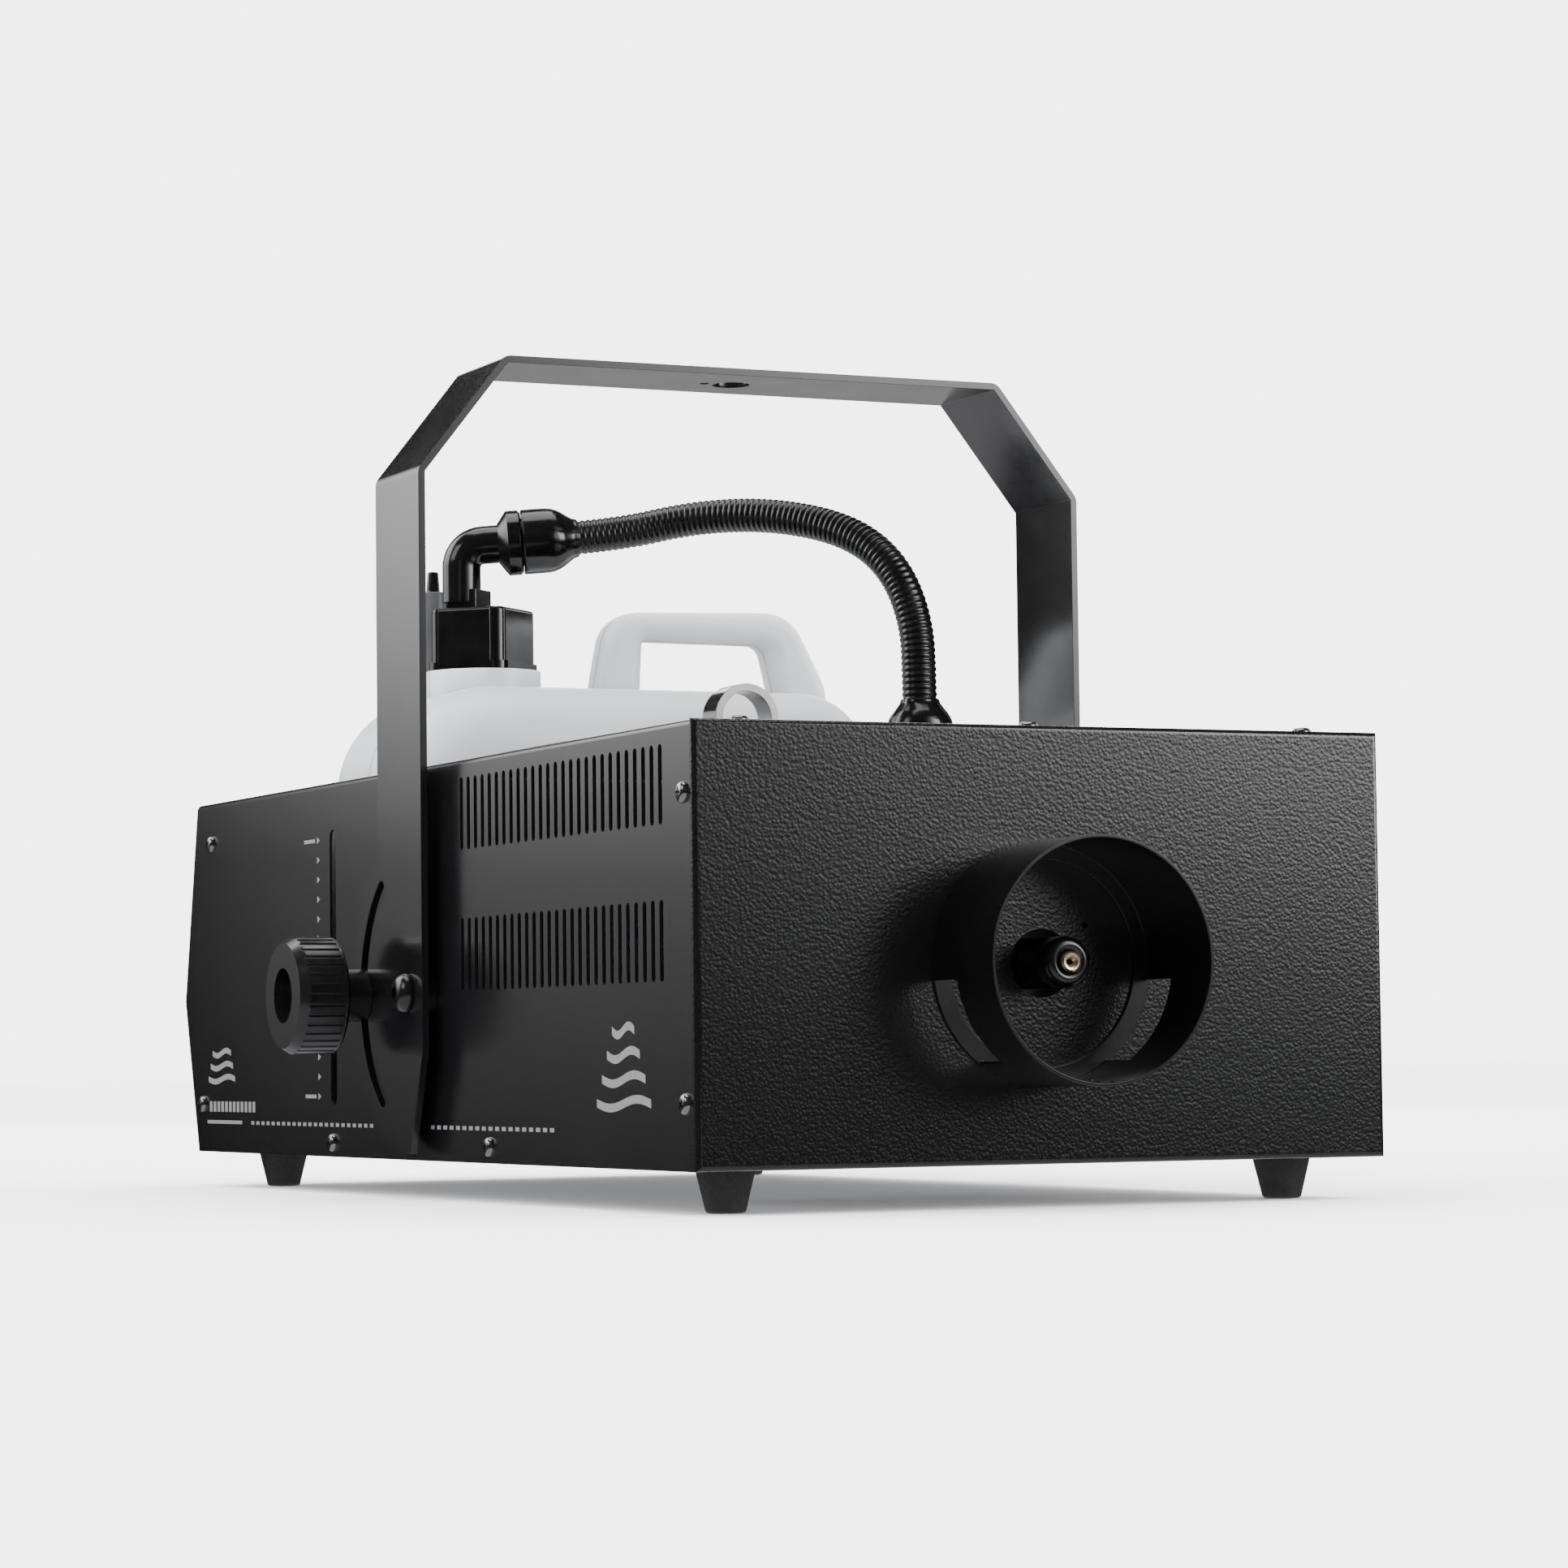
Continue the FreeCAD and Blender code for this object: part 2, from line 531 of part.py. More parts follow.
def heater_block():
    """A cast block round a coiled tube, with fins on top."""
    block = box(DUCT_X - HEATER_HALF, DUCT_X + HEATER_HALF, back(HEATER_FRONT), back(HEATER_REAR),
                HEATER_LOW, HEATER_HIGH)
    block = rounded(block, 8.0, lambda p: abs(abs(p.x - DUCT_X) - HEATER_HALF) < 0.1
                    and min(abs(p.z - HEATER_LOW), abs(p.z - HEATER_HIGH)) < 0.1)
    grooves = [box(DUCT_X - 30 + 12 * i, DUCT_X - 26 + 12 * i, back(50), back(190), HEATER_HIGH - 5, 200)
               for i in range(6)]
    return block.cut(group(grooves))


def heater_brackets():
    """Two folded stands that hold the heater clear of the base."""
    stands = []
    for depth in (70.0, 170.0):
        web = box(DUCT_X - 50, DUCT_X + 50, back(depth), back(depth + PLATE), FLOOR, HEATER_LOW + 14)
        web = web.cut(box(DUCT_X - HEATER_HALF - 0.2, DUCT_X + HEATER_HALF + 0.2, back(depth - 1),
                          back(depth + 9), HEATER_LOW - 0.05, 200))
        foot = box(DUCT_X - 50, DUCT_X + 50, back(depth), back(depth + 14), FLOOR, FLOOR + PLATE)
        stands.append(join([web, foot]))
    return group(stands)


def heat_shield():
    """A sheet hood over the heater."""
    x0, x1 = DUCT_X - 64, DUCT_X + 64
    hood = box(x0, x1, back(40), back(224), FLOOR, 150.0)
    hood = hood.cut(box(x0 + SHEET, x1 - SHEET, back(39), back(225), FLOOR - 1, 150.0 - SHEET))
    slots = [box(x0 - 1, x1 + 1, back(60 + 20 * i), back(66 + 20 * i), 50.0, 120.0) for i in range(8)]
    return hood.cut(group(slots))


def thermostat():
    return join([cylinder(9.0, 5.0, (DUCT_X + HEATER_HALF + 0.05, back(90), 92.0), X),
                 box(DUCT_X + HEATER_HALF + 5.0, DUCT_X + HEATER_HALF + 9.0, back(86), back(94), 87.0, 97.0)])


def thermal_fuse():
    body = cylinder(2.2, 24.0, (DUCT_X - HEATER_HALF - 2.3, back(120), 92.0), Y)
    clip = box(DUCT_X - HEATER_HALF - 5.5, DUCT_X - HEATER_HALF - 0.05, back(128), back(134), 88.0, 96.0)
    return join([body, clip])


# ---- pump and fluid line ----
PUMP_X, PUMP_Z = -28.0, 52.0
PUMP_FRONT = 244.0


def pump_bracket():
    foot = box(PUMP_X - 26, PUMP_X + 26, back(PUMP_FRONT), back(PUMP_FRONT + 70), FLOOR, FLOOR + PLATE)
    post = box(PUMP_X - 14, PUMP_X + 14, back(PUMP_FRONT + 6), back(PUMP_FRONT + 10), FLOOR, PUMP_Z + 14)
    return join([foot, post]).cut(cylinder(9.2, 20, (PUMP_X, back(PUMP_FRONT), PUMP_Z), Y))


PLUNGER_TRAVEL = 1.5


def pump_body():
    """The pump's barrel along Y, with a nozzle at each end and a chamber for the plunger."""
    barrel = cylinder(9.0, 62.0, (PUMP_X, back(PUMP_FRONT), PUMP_Z), Y)
    nipples = [cylinder(3.5, 14.0, (PUMP_X, back(PUMP_FRONT - 14), PUMP_Z), Y),
               cylinder(3.5, 14.0, (PUMP_X, back(PUMP_FRONT + 62), PUMP_Z), Y)]
    chamber = cylinder(6.0, 40.0, (PUMP_X, back(PUMP_FRONT + 14), PUMP_Z), Y)
    bore = cylinder(1.5, 120.0, (PUMP_X, back(PUMP_FRONT - 20), PUMP_Z), Y)
    return join([barrel] + nipples).cut(group([chamber, bore]))


def pump_plunger():
    rod = cylinder(5.9, 22.0, (PUMP_X, back(PUMP_FRONT + 20), PUMP_Z), Y)
    return rod.cut(cylinder(1.5, 60.0, (PUMP_X, back(PUMP_FRONT), PUMP_Z), Y))


def pump_spring():
    """The return spring as a plain sleeve of its outer shape, between the plunger and the end."""
    return ring(5.0, 3.4, 8.0, (PUMP_X, back(PUMP_FRONT + 44.5), PUMP_Z), Y)


def pump_coil():
    coil = box(PUMP_X - 17, PUMP_X + 17, back(PUMP_FRONT + 13), back(PUMP_FRONT + 56), PUMP_Z - 17, PUMP_Z + 17)
    return coil.cut(cylinder(9.1, 80, (PUMP_X, back(PUMP_FRONT), PUMP_Z), Y))


def heater_feed_pipe():
    """The bent metal pipe from the pump's front nipple to the heater's rear face."""
    y_pump, y_heater = back(PUMP_FRONT - 14.1), back(HEATER_REAR + 0.1)
    y_middle = (y_pump + y_heater) / 2
    return tube([(PUMP_X, y_pump, PUMP_Z), (PUMP_X, y_middle, PUMP_Z), (PUMP_X, y_middle, HEATER_INLET_Z),
                 (PUMP_X, y_heater, HEATER_INLET_Z)], 2.0, 1.2)


GLAND_Y = back(GLAND_DEPTH)


HOSE_ROUTE = [
    (-40.0, back(386.0), 287.6),
    (-13.5, back(376.35), 289.7),
    (16.6, back(359.0), 296.9),
    (41.9, back(331.1), 296.2),
    (64.3, back(300.8), 286.9),
    (76.7, back(281.6), 270.2),
    (82.6, back(271.0), 244.5),
    (GLAND_X, GLAND_Y, 216.0),
    (GLAND_X, GLAND_Y, 197.3),
]


def feed_hose():
    """The corrugated hose from the cap's elbow to the gland, as a plain tube of its real route."""
    return tube(HOSE_ROUTE, HOSE_DIA / 2, 4.6)


def pump_inlet_tube():
    """The soft tube from the gland's tail down to the pump's rear nipple."""
    end_y = back(PUMP_FRONT + 76.2)
    return tube([(GLAND_X, GLAND_Y, 159.8), (GLAND_X, GLAND_Y, 130.0), (74.0, GLAND_Y + 8, 100.0),
                 (50.0, GLAND_Y + 26, 76.0), (20.0, GLAND_Y + 46, 60.0), (-6.0, end_y + 2, PUMP_Z + 1.0),
                 (PUMP_X + 6.0, end_y + 2.0, PUMP_Z)], 3.2, 2.0)


def gland_body():
    flange = hexagon(27.0, 6.7, (GLAND_X, GLAND_Y, TOP), Z)
    thread = cylinder(10.0, 18.4, (GLAND_X, GLAND_Y, TOP - 18.4), Z)
    neck = cylinder(10.6, 12.0, (GLAND_X, GLAND_Y, TOP + 6.7), Z)
    return join([flange, thread, neck]).cut(cylinder(4.6, 60, (GLAND_X, GLAND_Y, 150), Z))


NUT_RADIUS = 14.5


def domed_nut(neck_radius, length, straight, grip):
    """A clamping nut along +Z: a cylinder that eases in to the hose, with a threaded well below."""
    lip = HOSE_DIA / 2 + 0.7
    bore = HOSE_DIA / 2 + 0.15
    steps = 8
    profile = [(neck_radius, 0), (NUT_RADIUS - 0.6, 0), (NUT_RADIUS, 0.6), (NUT_RADIUS, straight)]
    for step in range(1, steps + 1):
        way = step / steps
        ease = 0.5 - 0.5 * math.cos(math.pi * way ** 1.8)
        profile.append((NUT_RADIUS - (NUT_RADIUS - lip) * ease, straight + (length - straight) * way))
    profile += [(bore, length), (bore, grip), (neck_radius, grip)]
    return turned(profile, (0, 0, 0), Z)


def gland_nut():
    nut = domed_nut(10.7, 22.0, 6.0, 8.7)
    nut.translate(Vec(GLAND_X, GLAND_Y, TOP + 10.0))
    return nut


def inside_nuts():
    """The hexagon nuts under the roof, one on the gland and one on the safety eye."""
    nuts = []
    for across, thick, bore, x, y in ((27.0, 5.0, 10.05, GLAND_X, GLAND_Y), (13.0, 6.5, 4.05, 0, back(EYE_DEPTH))):
        nut = hexagon(across, thick, (x, y, ROOF - thick - 0.05), Z)
        nuts.append(nut.cut(cylinder(bore, 20, (x, y, ROOF - 10), Z)))
    return group(nuts)


# ---- fluid tank ----
TANK_LEFT, TANK_RIGHT = -123.0, 101.0
TANK_FRONT, TANK_REAR = back(335.0), back(465.0)
TANK_TOP, TANK_WALL = 219.7, 2.0
TANK_SHOULDER_LEFT, TANK_SHOULDER_RIGHT = 44.0, 33.0   # radii of the upper corners seen from the front
TANK_ROUND = 31.0                                      # radius of the lower corners
TANK_EDGE = 30.0                                       # radius of the front and rear edges
CAP_X, CAP_Y = -68.5, back(400.0)
CAP_LOW, CAP_TOP = 228.7, 256.5
NECK_RADIUS = 25.5
HANDLE_HALF = 11.5


def rounded_block(inset):
    """The tank's body without its neck and handle."""
    left, right = TANK_LEFT + inset, TANK_RIGHT - inset
    low, high = TANK_FLOOR + inset, TANK_TOP - inset
    loop = side_loop([(left, low, TANK_ROUND - inset), (right, low, TANK_ROUND - inset),
                      (right, high, TANK_SHOULDER_RIGHT - inset), (left, high, TANK_SHOULDER_LEFT - inset)],
                     TANK_FRONT + inset)
    block = loop.extrude(Y * (TANK_REAR - TANK_FRONT - 2 * inset))
    ends = (TANK_FRONT + inset, TANK_REAR - inset)
    return rounded(block, TANK_EDGE - inset, lambda p: min(abs(p.y - end) for end in ends) < 0.1)


def tank_handle():
    """The moulded grip: two legs and a bar, with every edge well rounded."""
    outer = [(-16.5, 205, 0), (-15.8, 223, 8), (-9.3, 256.8, 17.0), (78.6, 259.1, 20.0), (96.5, 225, 20),
             (97.0, 196, 0)]
    inner = [(2.5, 190, 0), (5.3, 244.8, 3.0), (67.8, 244.3, 7.0), (80.7, 190, 0)]
    loop = side_loop(outer, CAP_Y - HANDLE_HALF).extrude(Y * 2 * HANDLE_HALF)
    gap = side_loop(inner, CAP_Y - HANDLE_HALF - 5).extrude(Y * (2 * HANDLE_HALF + 10))
    return rounded(loop.cut(gap), 6.0, lambda p: abs(abs(p.y - CAP_Y) - HANDLE_HALF) < 0.1)


def fluid_tank():
    neck = cylinder(NECK_RADIUS, CAP_LOW - 200, (CAP_X, CAP_Y, 200), Z)
    mouth = cylinder(20.5, 60, (CAP_X, CAP_Y, 195), Z)
    outside = join([rounded_block(0.0), tank_handle(), neck])
    return outside.cut(join([rounded_block(TANK_WALL), mouth]))


CAP_TURN = -49.0                                       # the square cap's turn about its own axis
CAP_SIDE, CAP_FLANGE_SIDE, CAP_FLANGE = 36.2, 38.8, 3.6
CAP_CORNER, FLANGE_CORNER = 5.5, 6.5
GROOVE_PLACE, GROOVE_RADIUS = 13.6, 1.0
GROOVE_OUT = 0.2                                     # how far a groove's axis lies outside its face


def squared(side, corner, low, high):
    """An upright square bar with rounded corners, centred on the cap's axis and turned with it."""
    bar = box(-side / 2, side / 2, -side / 2, side / 2, low, high)
    bar = rounded(bar, corner, lambda p: abs(abs(p.x) - side / 2) < 0.1 and abs(abs(p.y) - side / 2) < 0.1)
    return bar


def on_cap(shape, x=0.0):
    """Turn a shape with the cap and set it x beside the cap's axis."""
    moved = shape.copy()
    moved.Placement = FreeCAD.Placement(Vec(x, CAP_Y, 0), FreeCAD.Rotation(Z, CAP_TURN))
    return moved


def tank_cap():
    """The square screw cap: a low flange, a grooved grip and a round plug that fills the neck."""
    low = CAP_LOW + 0.05
    flange = squared(CAP_FLANGE_SIDE, FLANGE_CORNER, low, low + CAP_FLANGE)
    grip = squared(CAP_SIDE, CAP_CORNER, low, CAP_TOP)
    grip = rounded(grip, 1.6, lambda p: p.z > CAP_TOP - 0.1)
    axis_side = CAP_SIDE / 2 + GROOVE_OUT
    for place in (-GROOVE_PLACE, GROOVE_PLACE):
        for side in (-axis_side, axis_side):
            for x, y in ((place, side), (side, place)):
                grip = grip.cut(cylinder(GROOVE_RADIUS, 60, (x, y, low + CAP_FLANGE), Z))
    plug = cylinder(20.1, 14.0, (CAP_X, CAP_Y, CAP_LOW - 13.9), Z)
    cap = join([on_cap(join([flange, grip]), CAP_X), plug])
    return cap.cut(cylinder(5.1, 80, (ELBOW_X, CAP_Y, 200), Z))


ELBOW_X, ELBOW_FOOT_X = -78.4, -75.3
ELBOW_FOOT_SIDE, ELBOW_FOOT_HEIGHT = 15.4, 8.4
ELBOW_TURN = 20.0                                    # degrees of the arm towards the front
ELBOW_RISE = 4.2                                     # degrees of the arm above level
ELBOW_BEND = 10.0
ELBOW_RADIUS, ELBOW_BORE = 8.5, 4.0
STEM_FOOT = CAP_TOP - 22.0                           # lower end of the stem inside the cap
BEND_Z = 275.3                                       # where the stem starts to bend
LEVEL_ARM = Vec(math.cos(math.radians(ELBOW_TURN)), -math.sin(math.radians(ELBOW_TURN)), 0)
ARM = LEVEL_ARM * math.cos(math.radians(ELBOW_RISE)) + Z * math.sin(math.radians(ELBOW_RISE))
BEND_CENTRE = Vec(ELBOW_X, CAP_Y, BEND_Z) + LEVEL_ARM * ELBOW_BEND
ARM_START = (BEND_CENTRE + Z * ELBOW_BEND * math.cos(math.radians(ELBOW_RISE))
             - LEVEL_ARM * ELBOW_BEND * math.sin(math.radians(ELBOW_RISE)))
COLLAR, ELBOW_NUT = 7.0, 17.7                        # distances along the arm from its start
HOSE_SOCKET = 31.6


def along_arm(distance):
    return ARM_START + ARM * distance


def elbow_core(radius, foot):
    """A round bar up the stem, round the bend and out to the hose's end."""
    stem = cylinder(radius, BEND_Z - foot, (ELBOW_X, CAP_Y, foot), Z)
    disc = Part.Face(Part.Wire(Part.makeCircle(radius, Vec(ELBOW_X, CAP_Y, BEND_Z), Z)))
    bend = disc.revolve(BEND_CENTRE, Z.cross(LEVEL_ARM), 90.0 - ELBOW_RISE)
    arm = cylinder(radius, HOSE_SOCKET, tuple(ARM_START), ARM)
    return join([stem, bend, arm])


def elbow_body():
    """The angled fitting in the cap: square foot, upright stem, bend, arm and collar."""
    stem = cylinder(5.0, 30.0, (ELBOW_X, CAP_Y, STEM_FOOT), Z)
    foot_low = CAP_TOP + 0.05
    foot = on_cap(squared(ELBOW_FOOT_SIDE, 1.2, foot_low, foot_low + ELBOW_FOOT_HEIGHT), ELBOW_FOOT_X)
    collar = turned([(0, 0), (ELBOW_RADIUS + 0.2, 0), (NUT_RADIUS, 4.2), (NUT_RADIUS, 9.5), (13.4, 10.4),
                     (10.6, 10.4), (10.6, HOSE_SOCKET - COLLAR), (0, HOSE_SOCKET - COLLAR)],
                    tuple(along_arm(COLLAR)), ARM)
    solid = join([elbow_core(ELBOW_RADIUS, CAP_TOP + 3.0), stem, foot, collar])
    return solid.cut(elbow_core(ELBOW_BORE, STEM_FOOT))


def elbow_nut():
    nut = domed_nut(10.7, 25.0, 7.0, HOSE_SOCKET - ELBOW_NUT)
    nut.Placement = FreeCAD.Placement(along_arm(ELBOW_NUT), FreeCAD.Rotation(Z, ARM))
    return nut


VENT_X, VENT_Y = -79.5, back(433.0)
VENT_COLLAR_Z, VENT_TIP_Z = 267.0, 276.5


def tank_vent():
    """A breather that stands on the tank behind the cap: a post and a smaller black tip."""
    post = cylinder(6.9, VENT_COLLAR_Z - TANK_TOP - 0.05, (VENT_X, VENT_Y, TANK_TOP + 0.05), Z)
    tip = cone(3.2, 2.4, VENT_TIP_Z - VENT_COLLAR_Z + 0.5, (VENT_X, VENT_Y, VENT_COLLAR_Z - 0.5), Z)
    return join([post, tip])


def dip_tube():
    """The stiff tube from the elbow's stem down to the filter at the bottom of the tank."""
    return ring(4.0, 2.6, 195.0, (ELBOW_X, CAP_Y, STEM_FOOT - 0.1 - 195.0), Z)


def intake_filter():
    """A sintered cup on the tube's end."""
    low = STEM_FOOT - 0.1 - 195.0 - 8.0
    cup = cylinder(9.0, 26.0, (ELBOW_X, CAP_Y, low), Z)
    return cup.cut(join([cylinder(4.05, 30, (ELBOW_X, CAP_Y, low + 8.0), Z)]))


# ---- yoke and its knobs ----
def mitred(points, thickness):
    """The outline of a bent flat bar: its outer points, and the inner ones by mitre."""
    inner = []
    for i, point in enumerate(points):
        before = points[max(i - 1, 0)]
        after = points[min(i + 1, len(points) - 1)]
        ways = []
        for a, b in ((before, point), (point, after)):
            length = math.hypot(b[0] - a[0], b[1] - a[1])
            if length:
                ways.append(((b[0] - a[0]) / length, (b[1] - a[1]) / length))
        first, last = ways[0], ways[-1]
        side = (first[1] + last[1], -first[0] - last[0])
        size = math.hypot(*side)
        cos_half = (first[1] * side[0] - first[0] * side[1]) / size
        inner.append((point[0] + side[0] / size * thickness / cos_half,
                      point[1] + side[1] / size * thickness / cos_half))
    return points + inner[::-1]


YOKE_FRONT, YOKE_REAR = back(254.0), back(305.5)
YOKE_PLATE = 65.5                                    # radius of the end plate about the pivot
PIVOT_Y = back(PIVOT_DEPTH)
SLOT_WIDTH = 8.0


def end_plate_outline():
    """Side view of one yoke end, below the bar: arc about the pivot, slanted front corner."""
    reach = YOKE_REAR - PIVOT_Y
    top = (YOKE_REAR, PIVOT_Z + math.sqrt(YOKE_PLATE ** 2 - reach ** 2))
    low_y = back(269.0)
    low = (low_y, PIVOT_Z - math.sqrt(YOKE_PLATE ** 2 - (low_y - PIVOT_Y) ** 2))

    def v(y, z):
        return Vec(YOKE_OUTER - BAR, y, z)

    rear = v(PIVOT_Y + YOKE_PLATE, PIVOT_Z)
    joint_z = 190.0
    edges = [Part.Arc(v(*top), rear, v(*low)).toShape(),
             Part.LineSegment(v(*low), v(YOKE_FRONT, 60.0)).toShape(),
             Part.LineSegment(v(YOKE_FRONT, 60.0), v(YOKE_FRONT, joint_z)).toShape(),
             Part.LineSegment(v(YOKE_FRONT, joint_z), v(YOKE_REAR, joint_z)).toShape(),
             Part.LineSegment(v(YOKE_REAR, joint_z), v(*top)).toShape()]
    return Part.Face(Part.Wire(edges)).extrude(Vec(BAR, 0, 0))


def arc_slot():
    """The curved slot that the knob's stud runs in."""
    centre = Vec(YOKE_OUTER - 2 * BAR, PIVOT_Y, PIVOT_Z)
    half = math.radians(YOKE_TRAVEL + 0.5)
    wide = SLOT_WIDTH / 2
    sector = [(centre.x, centre.y, centre.z)]
    for step in range(5):
        angle = -half + step * half / 2
        sector.append((centre.x, centre.y + 130 * math.cos(angle), centre.z + 130 * math.sin(angle)))
    band = ring(KNOB_RADIUS + wide, KNOB_RADIUS - wide, 3 * BAR, tuple(centre), X)
    band = band.common(prism(sector, Vec(3 * BAR, 0, 0)))
    ends = [cylinder(wide, 3 * BAR, (centre.x, centre.y + KNOB_RADIUS * math.cos(half),
                                     centre.z + s * KNOB_RADIUS * math.sin(half)), X) for s in (-1, 1)]
    return join([band] + ends)


def yoke():
    shoulder = [(YOKE_OUTER, 298.8), (114.5, YOKE_TOP)]
    outer = [(-YOKE_OUTER, 185.0)] + [(-x, z) for x, z in shoulder] + shoulder[::-1] + [(YOKE_OUTER, 185.0)]
    bar = prism([(x, YOKE_FRONT, z) for x, z in mitred(outer, BAR)], Vec(0, YOKE_REAR - YOKE_FRONT, 0))
    bar = rounded(bar, 6.0, lambda p: any(math.hypot(abs(p.x) - x, p.z - z) < 0.1 for x, z in shoulder))
    plate = end_plate_outline()
    whole = join([bar, plate, mirrored(plate)])
    slot = arc_slot()
    pivot = cylinder(4.06, 4 * BAR, (YOKE_OUTER - 2 * BAR, PIVOT_Y, PIVOT_Z), X)
    cutters = [slot, mirrored(slot), pivot, mirrored(pivot),
               cylinder(8.0, 20, (0, back(281.0), YOKE_TOP - 10), Z),
               cylinder(2.0, 20, (-12.5, back(281.0), YOKE_TOP - 10), Z)]
    return whole.cut(group(cutters))


def pivot_bolts():
    head_start = YOKE_OUTER + 0.2
    head = turned([(0, 0), (8.0, 0), (8.0, 3.2), (6.8, 5.0), (4.6, 5.9), (0, 5.9)], (head_start, PIVOT_Y, PIVOT_Z), X)
    shank = cylinder(4.0, head_start - INNER + 11, (INNER - 11, PIVOT_Y, PIVOT_Z), X)
    socket = hexagon(5.0, 4.0, (head_start + 2.5, PIVOT_Y, PIVOT_Z), X)
    return both_sides(join([head, shank]).cut(socket))


def yoke_spacers():
    """Plain washers that keep the yoke's ends off the cover, at the pivots and at the knobs."""
    thick = YOKE_OUTER - BAR - HALF
    washers = [ring(11.0, 4.1, thick - 0.3, (HALF + 0.05, y, PIVOT_Z), X)
               for y in (PIVOT_Y, PIVOT_Y + KNOB_RADIUS)]
    return both_sides(group(washers))


def clamp_nuts():
    """Round weld nuts inside the cover for the pivot bolts and the knobs' studs."""
    nuts = [ring(7.0, 4.05, 10.0, (INNER - 10.05, y, PIVOT_Z), X) for y in (PIVOT_Y, PIVOT_Y + KNOB_RADIUS)]
    return both_sides(group(nuts))


KNOB_RIBS = 36
KNOB_STUD = 3.7


KNOB_Y = PIVOT_Y + KNOB_RADIUS
KNOB_START = YOKE_OUTER + 0.2                        # end of the knob's neck, beside the yoke
STUD_GRIP = 14.0                                     # length of the stud inside the knob


def clamp_knob():
    """A ribbed hand knob: a deep cup in its face, and a neck with a threaded bore."""
    length = KNOB_FACE - KNOB_START
    cup = length - 7.0
    profile = [(0, 0), (11.0, 0), (11.0, length - 21.5), (23.4, length - 21.5), (24.5, length - 20.3),
               (24.5, length - 4.0), (22.0, length), (11.5, length), (11.5, cup), (0, cup)]
    knob = turned(profile, (KNOB_START, KNOB_Y, PIVOT_Z), X)
    cutters = [cylinder(KNOB_STUD + 0.05, STUD_GRIP + 1, (KNOB_START - 1, KNOB_Y, PIVOT_Z), X)]
    for i in range(KNOB_RIBS):
        angle = 2 * math.pi * i / KNOB_RIBS
        cutters.append(cylinder(1.0, 16.0, (KNOB_FACE - 19.5, KNOB_Y + 24.9 * math.cos(angle),
                                            PIVOT_Z + 24.9 * math.sin(angle)), X))
    return knob.cut(group(cutters))


def knob_stud():
    """The stud that joins the knob to the weld nut, through the yoke's curved slot."""
    start = INNER - 12
    return cylinder(KNOB_STUD, KNOB_START + STUD_GRIP - start, (start, KNOB_Y, PIVOT_Z), X)


# ---- safety eye ----
def safety_eye():
    """A closed ring on a collar, with a stud through the cover."""
    eye_y = back(EYE_DEPTH)
    centre_z = TOP + 22.2
    eye = ring(14.7, 11.3, 14.0, (0, eye_y - 7.0, centre_z), Y)
    collar = hexagon(11.0, 8.5, (0, eye_y, TOP + 0.05), Z)
    collar = collar.fuse(cylinder(5.0, 3.0, (0, eye_y, TOP + 7.5), Z))
    collar = collar.cut(cylinder(12.0, 40, (0, eye_y - 20, centre_z), Y))
    stud = cylinder(4.0, 16.0, (0, eye_y, TOP - 14.0), Z)
    return join([eye, collar, stud])


def parts():
    """Every node by name."""
    nodes = {f.__name__: f for f in (
        base_pan, cover, front_panel, rear_panel, bay_front_wall, bay_rear_wall, bay_side_wall, tank_shelf,
        cover_screws, rubber_feet, foot_screws, outlet_duct, nozzle_sleeve, nozzle_tip, heater_plate,
        heater_block, heater_brackets, heat_shield, thermostat, thermal_fuse, pump_bracket, pump_body,
        pump_plunger, pump_spring, pump_coil, heater_feed_pipe, pump_inlet_tube, gland_body, gland_nut,
        inside_nuts, feed_hose, fluid_tank, tank_cap, elbow_body, elbow_nut, tank_vent, dip_tube,
        intake_filter, yoke, pivot_bolts, yoke_spacers, clamp_nuts, safety_eye, control_board,
        display_window, power_board, rocker_bezel, power_rocker, power_inlet, fuse_drawer)}
    made = {name: make() for name, make in nodes.items()}
    made["right_knob"] = clamp_knob()
    made["left_knob"] = mirrored(made["right_knob"])
    made["right_knob_stud"] = knob_stud()
    made["left_knob_stud"] = mirrored(made["right_knob_stud"])
    made["dmx_in_socket"] = dmx_socket(DMX_IN_X, True)
    made["dmx_out_socket"] = dmx_socket(DMX_OUT_X, False)
    for i, x in enumerate(BUTTON_X):
        made["menu_button_%d" % (i + 1)] = menu_button(x)
    return made


os.makedirs("parts", exist_ok=True)
for node, shape in parts().items():
    if not shape.isValid():
        print("not valid:", node)
    shape.exportStep("parts/%s.step" % node)
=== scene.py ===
"""Looks of the fog machine: materials, finished skins, the corrugated hose, printing, light and camera.

Metres, in the CAD model's frame. The outlet faces -Y, the control panel faces +Y, and +Z is up.
"""
import bmesh
import bpy
import json
import math
from mathutils import Matrix, Vector

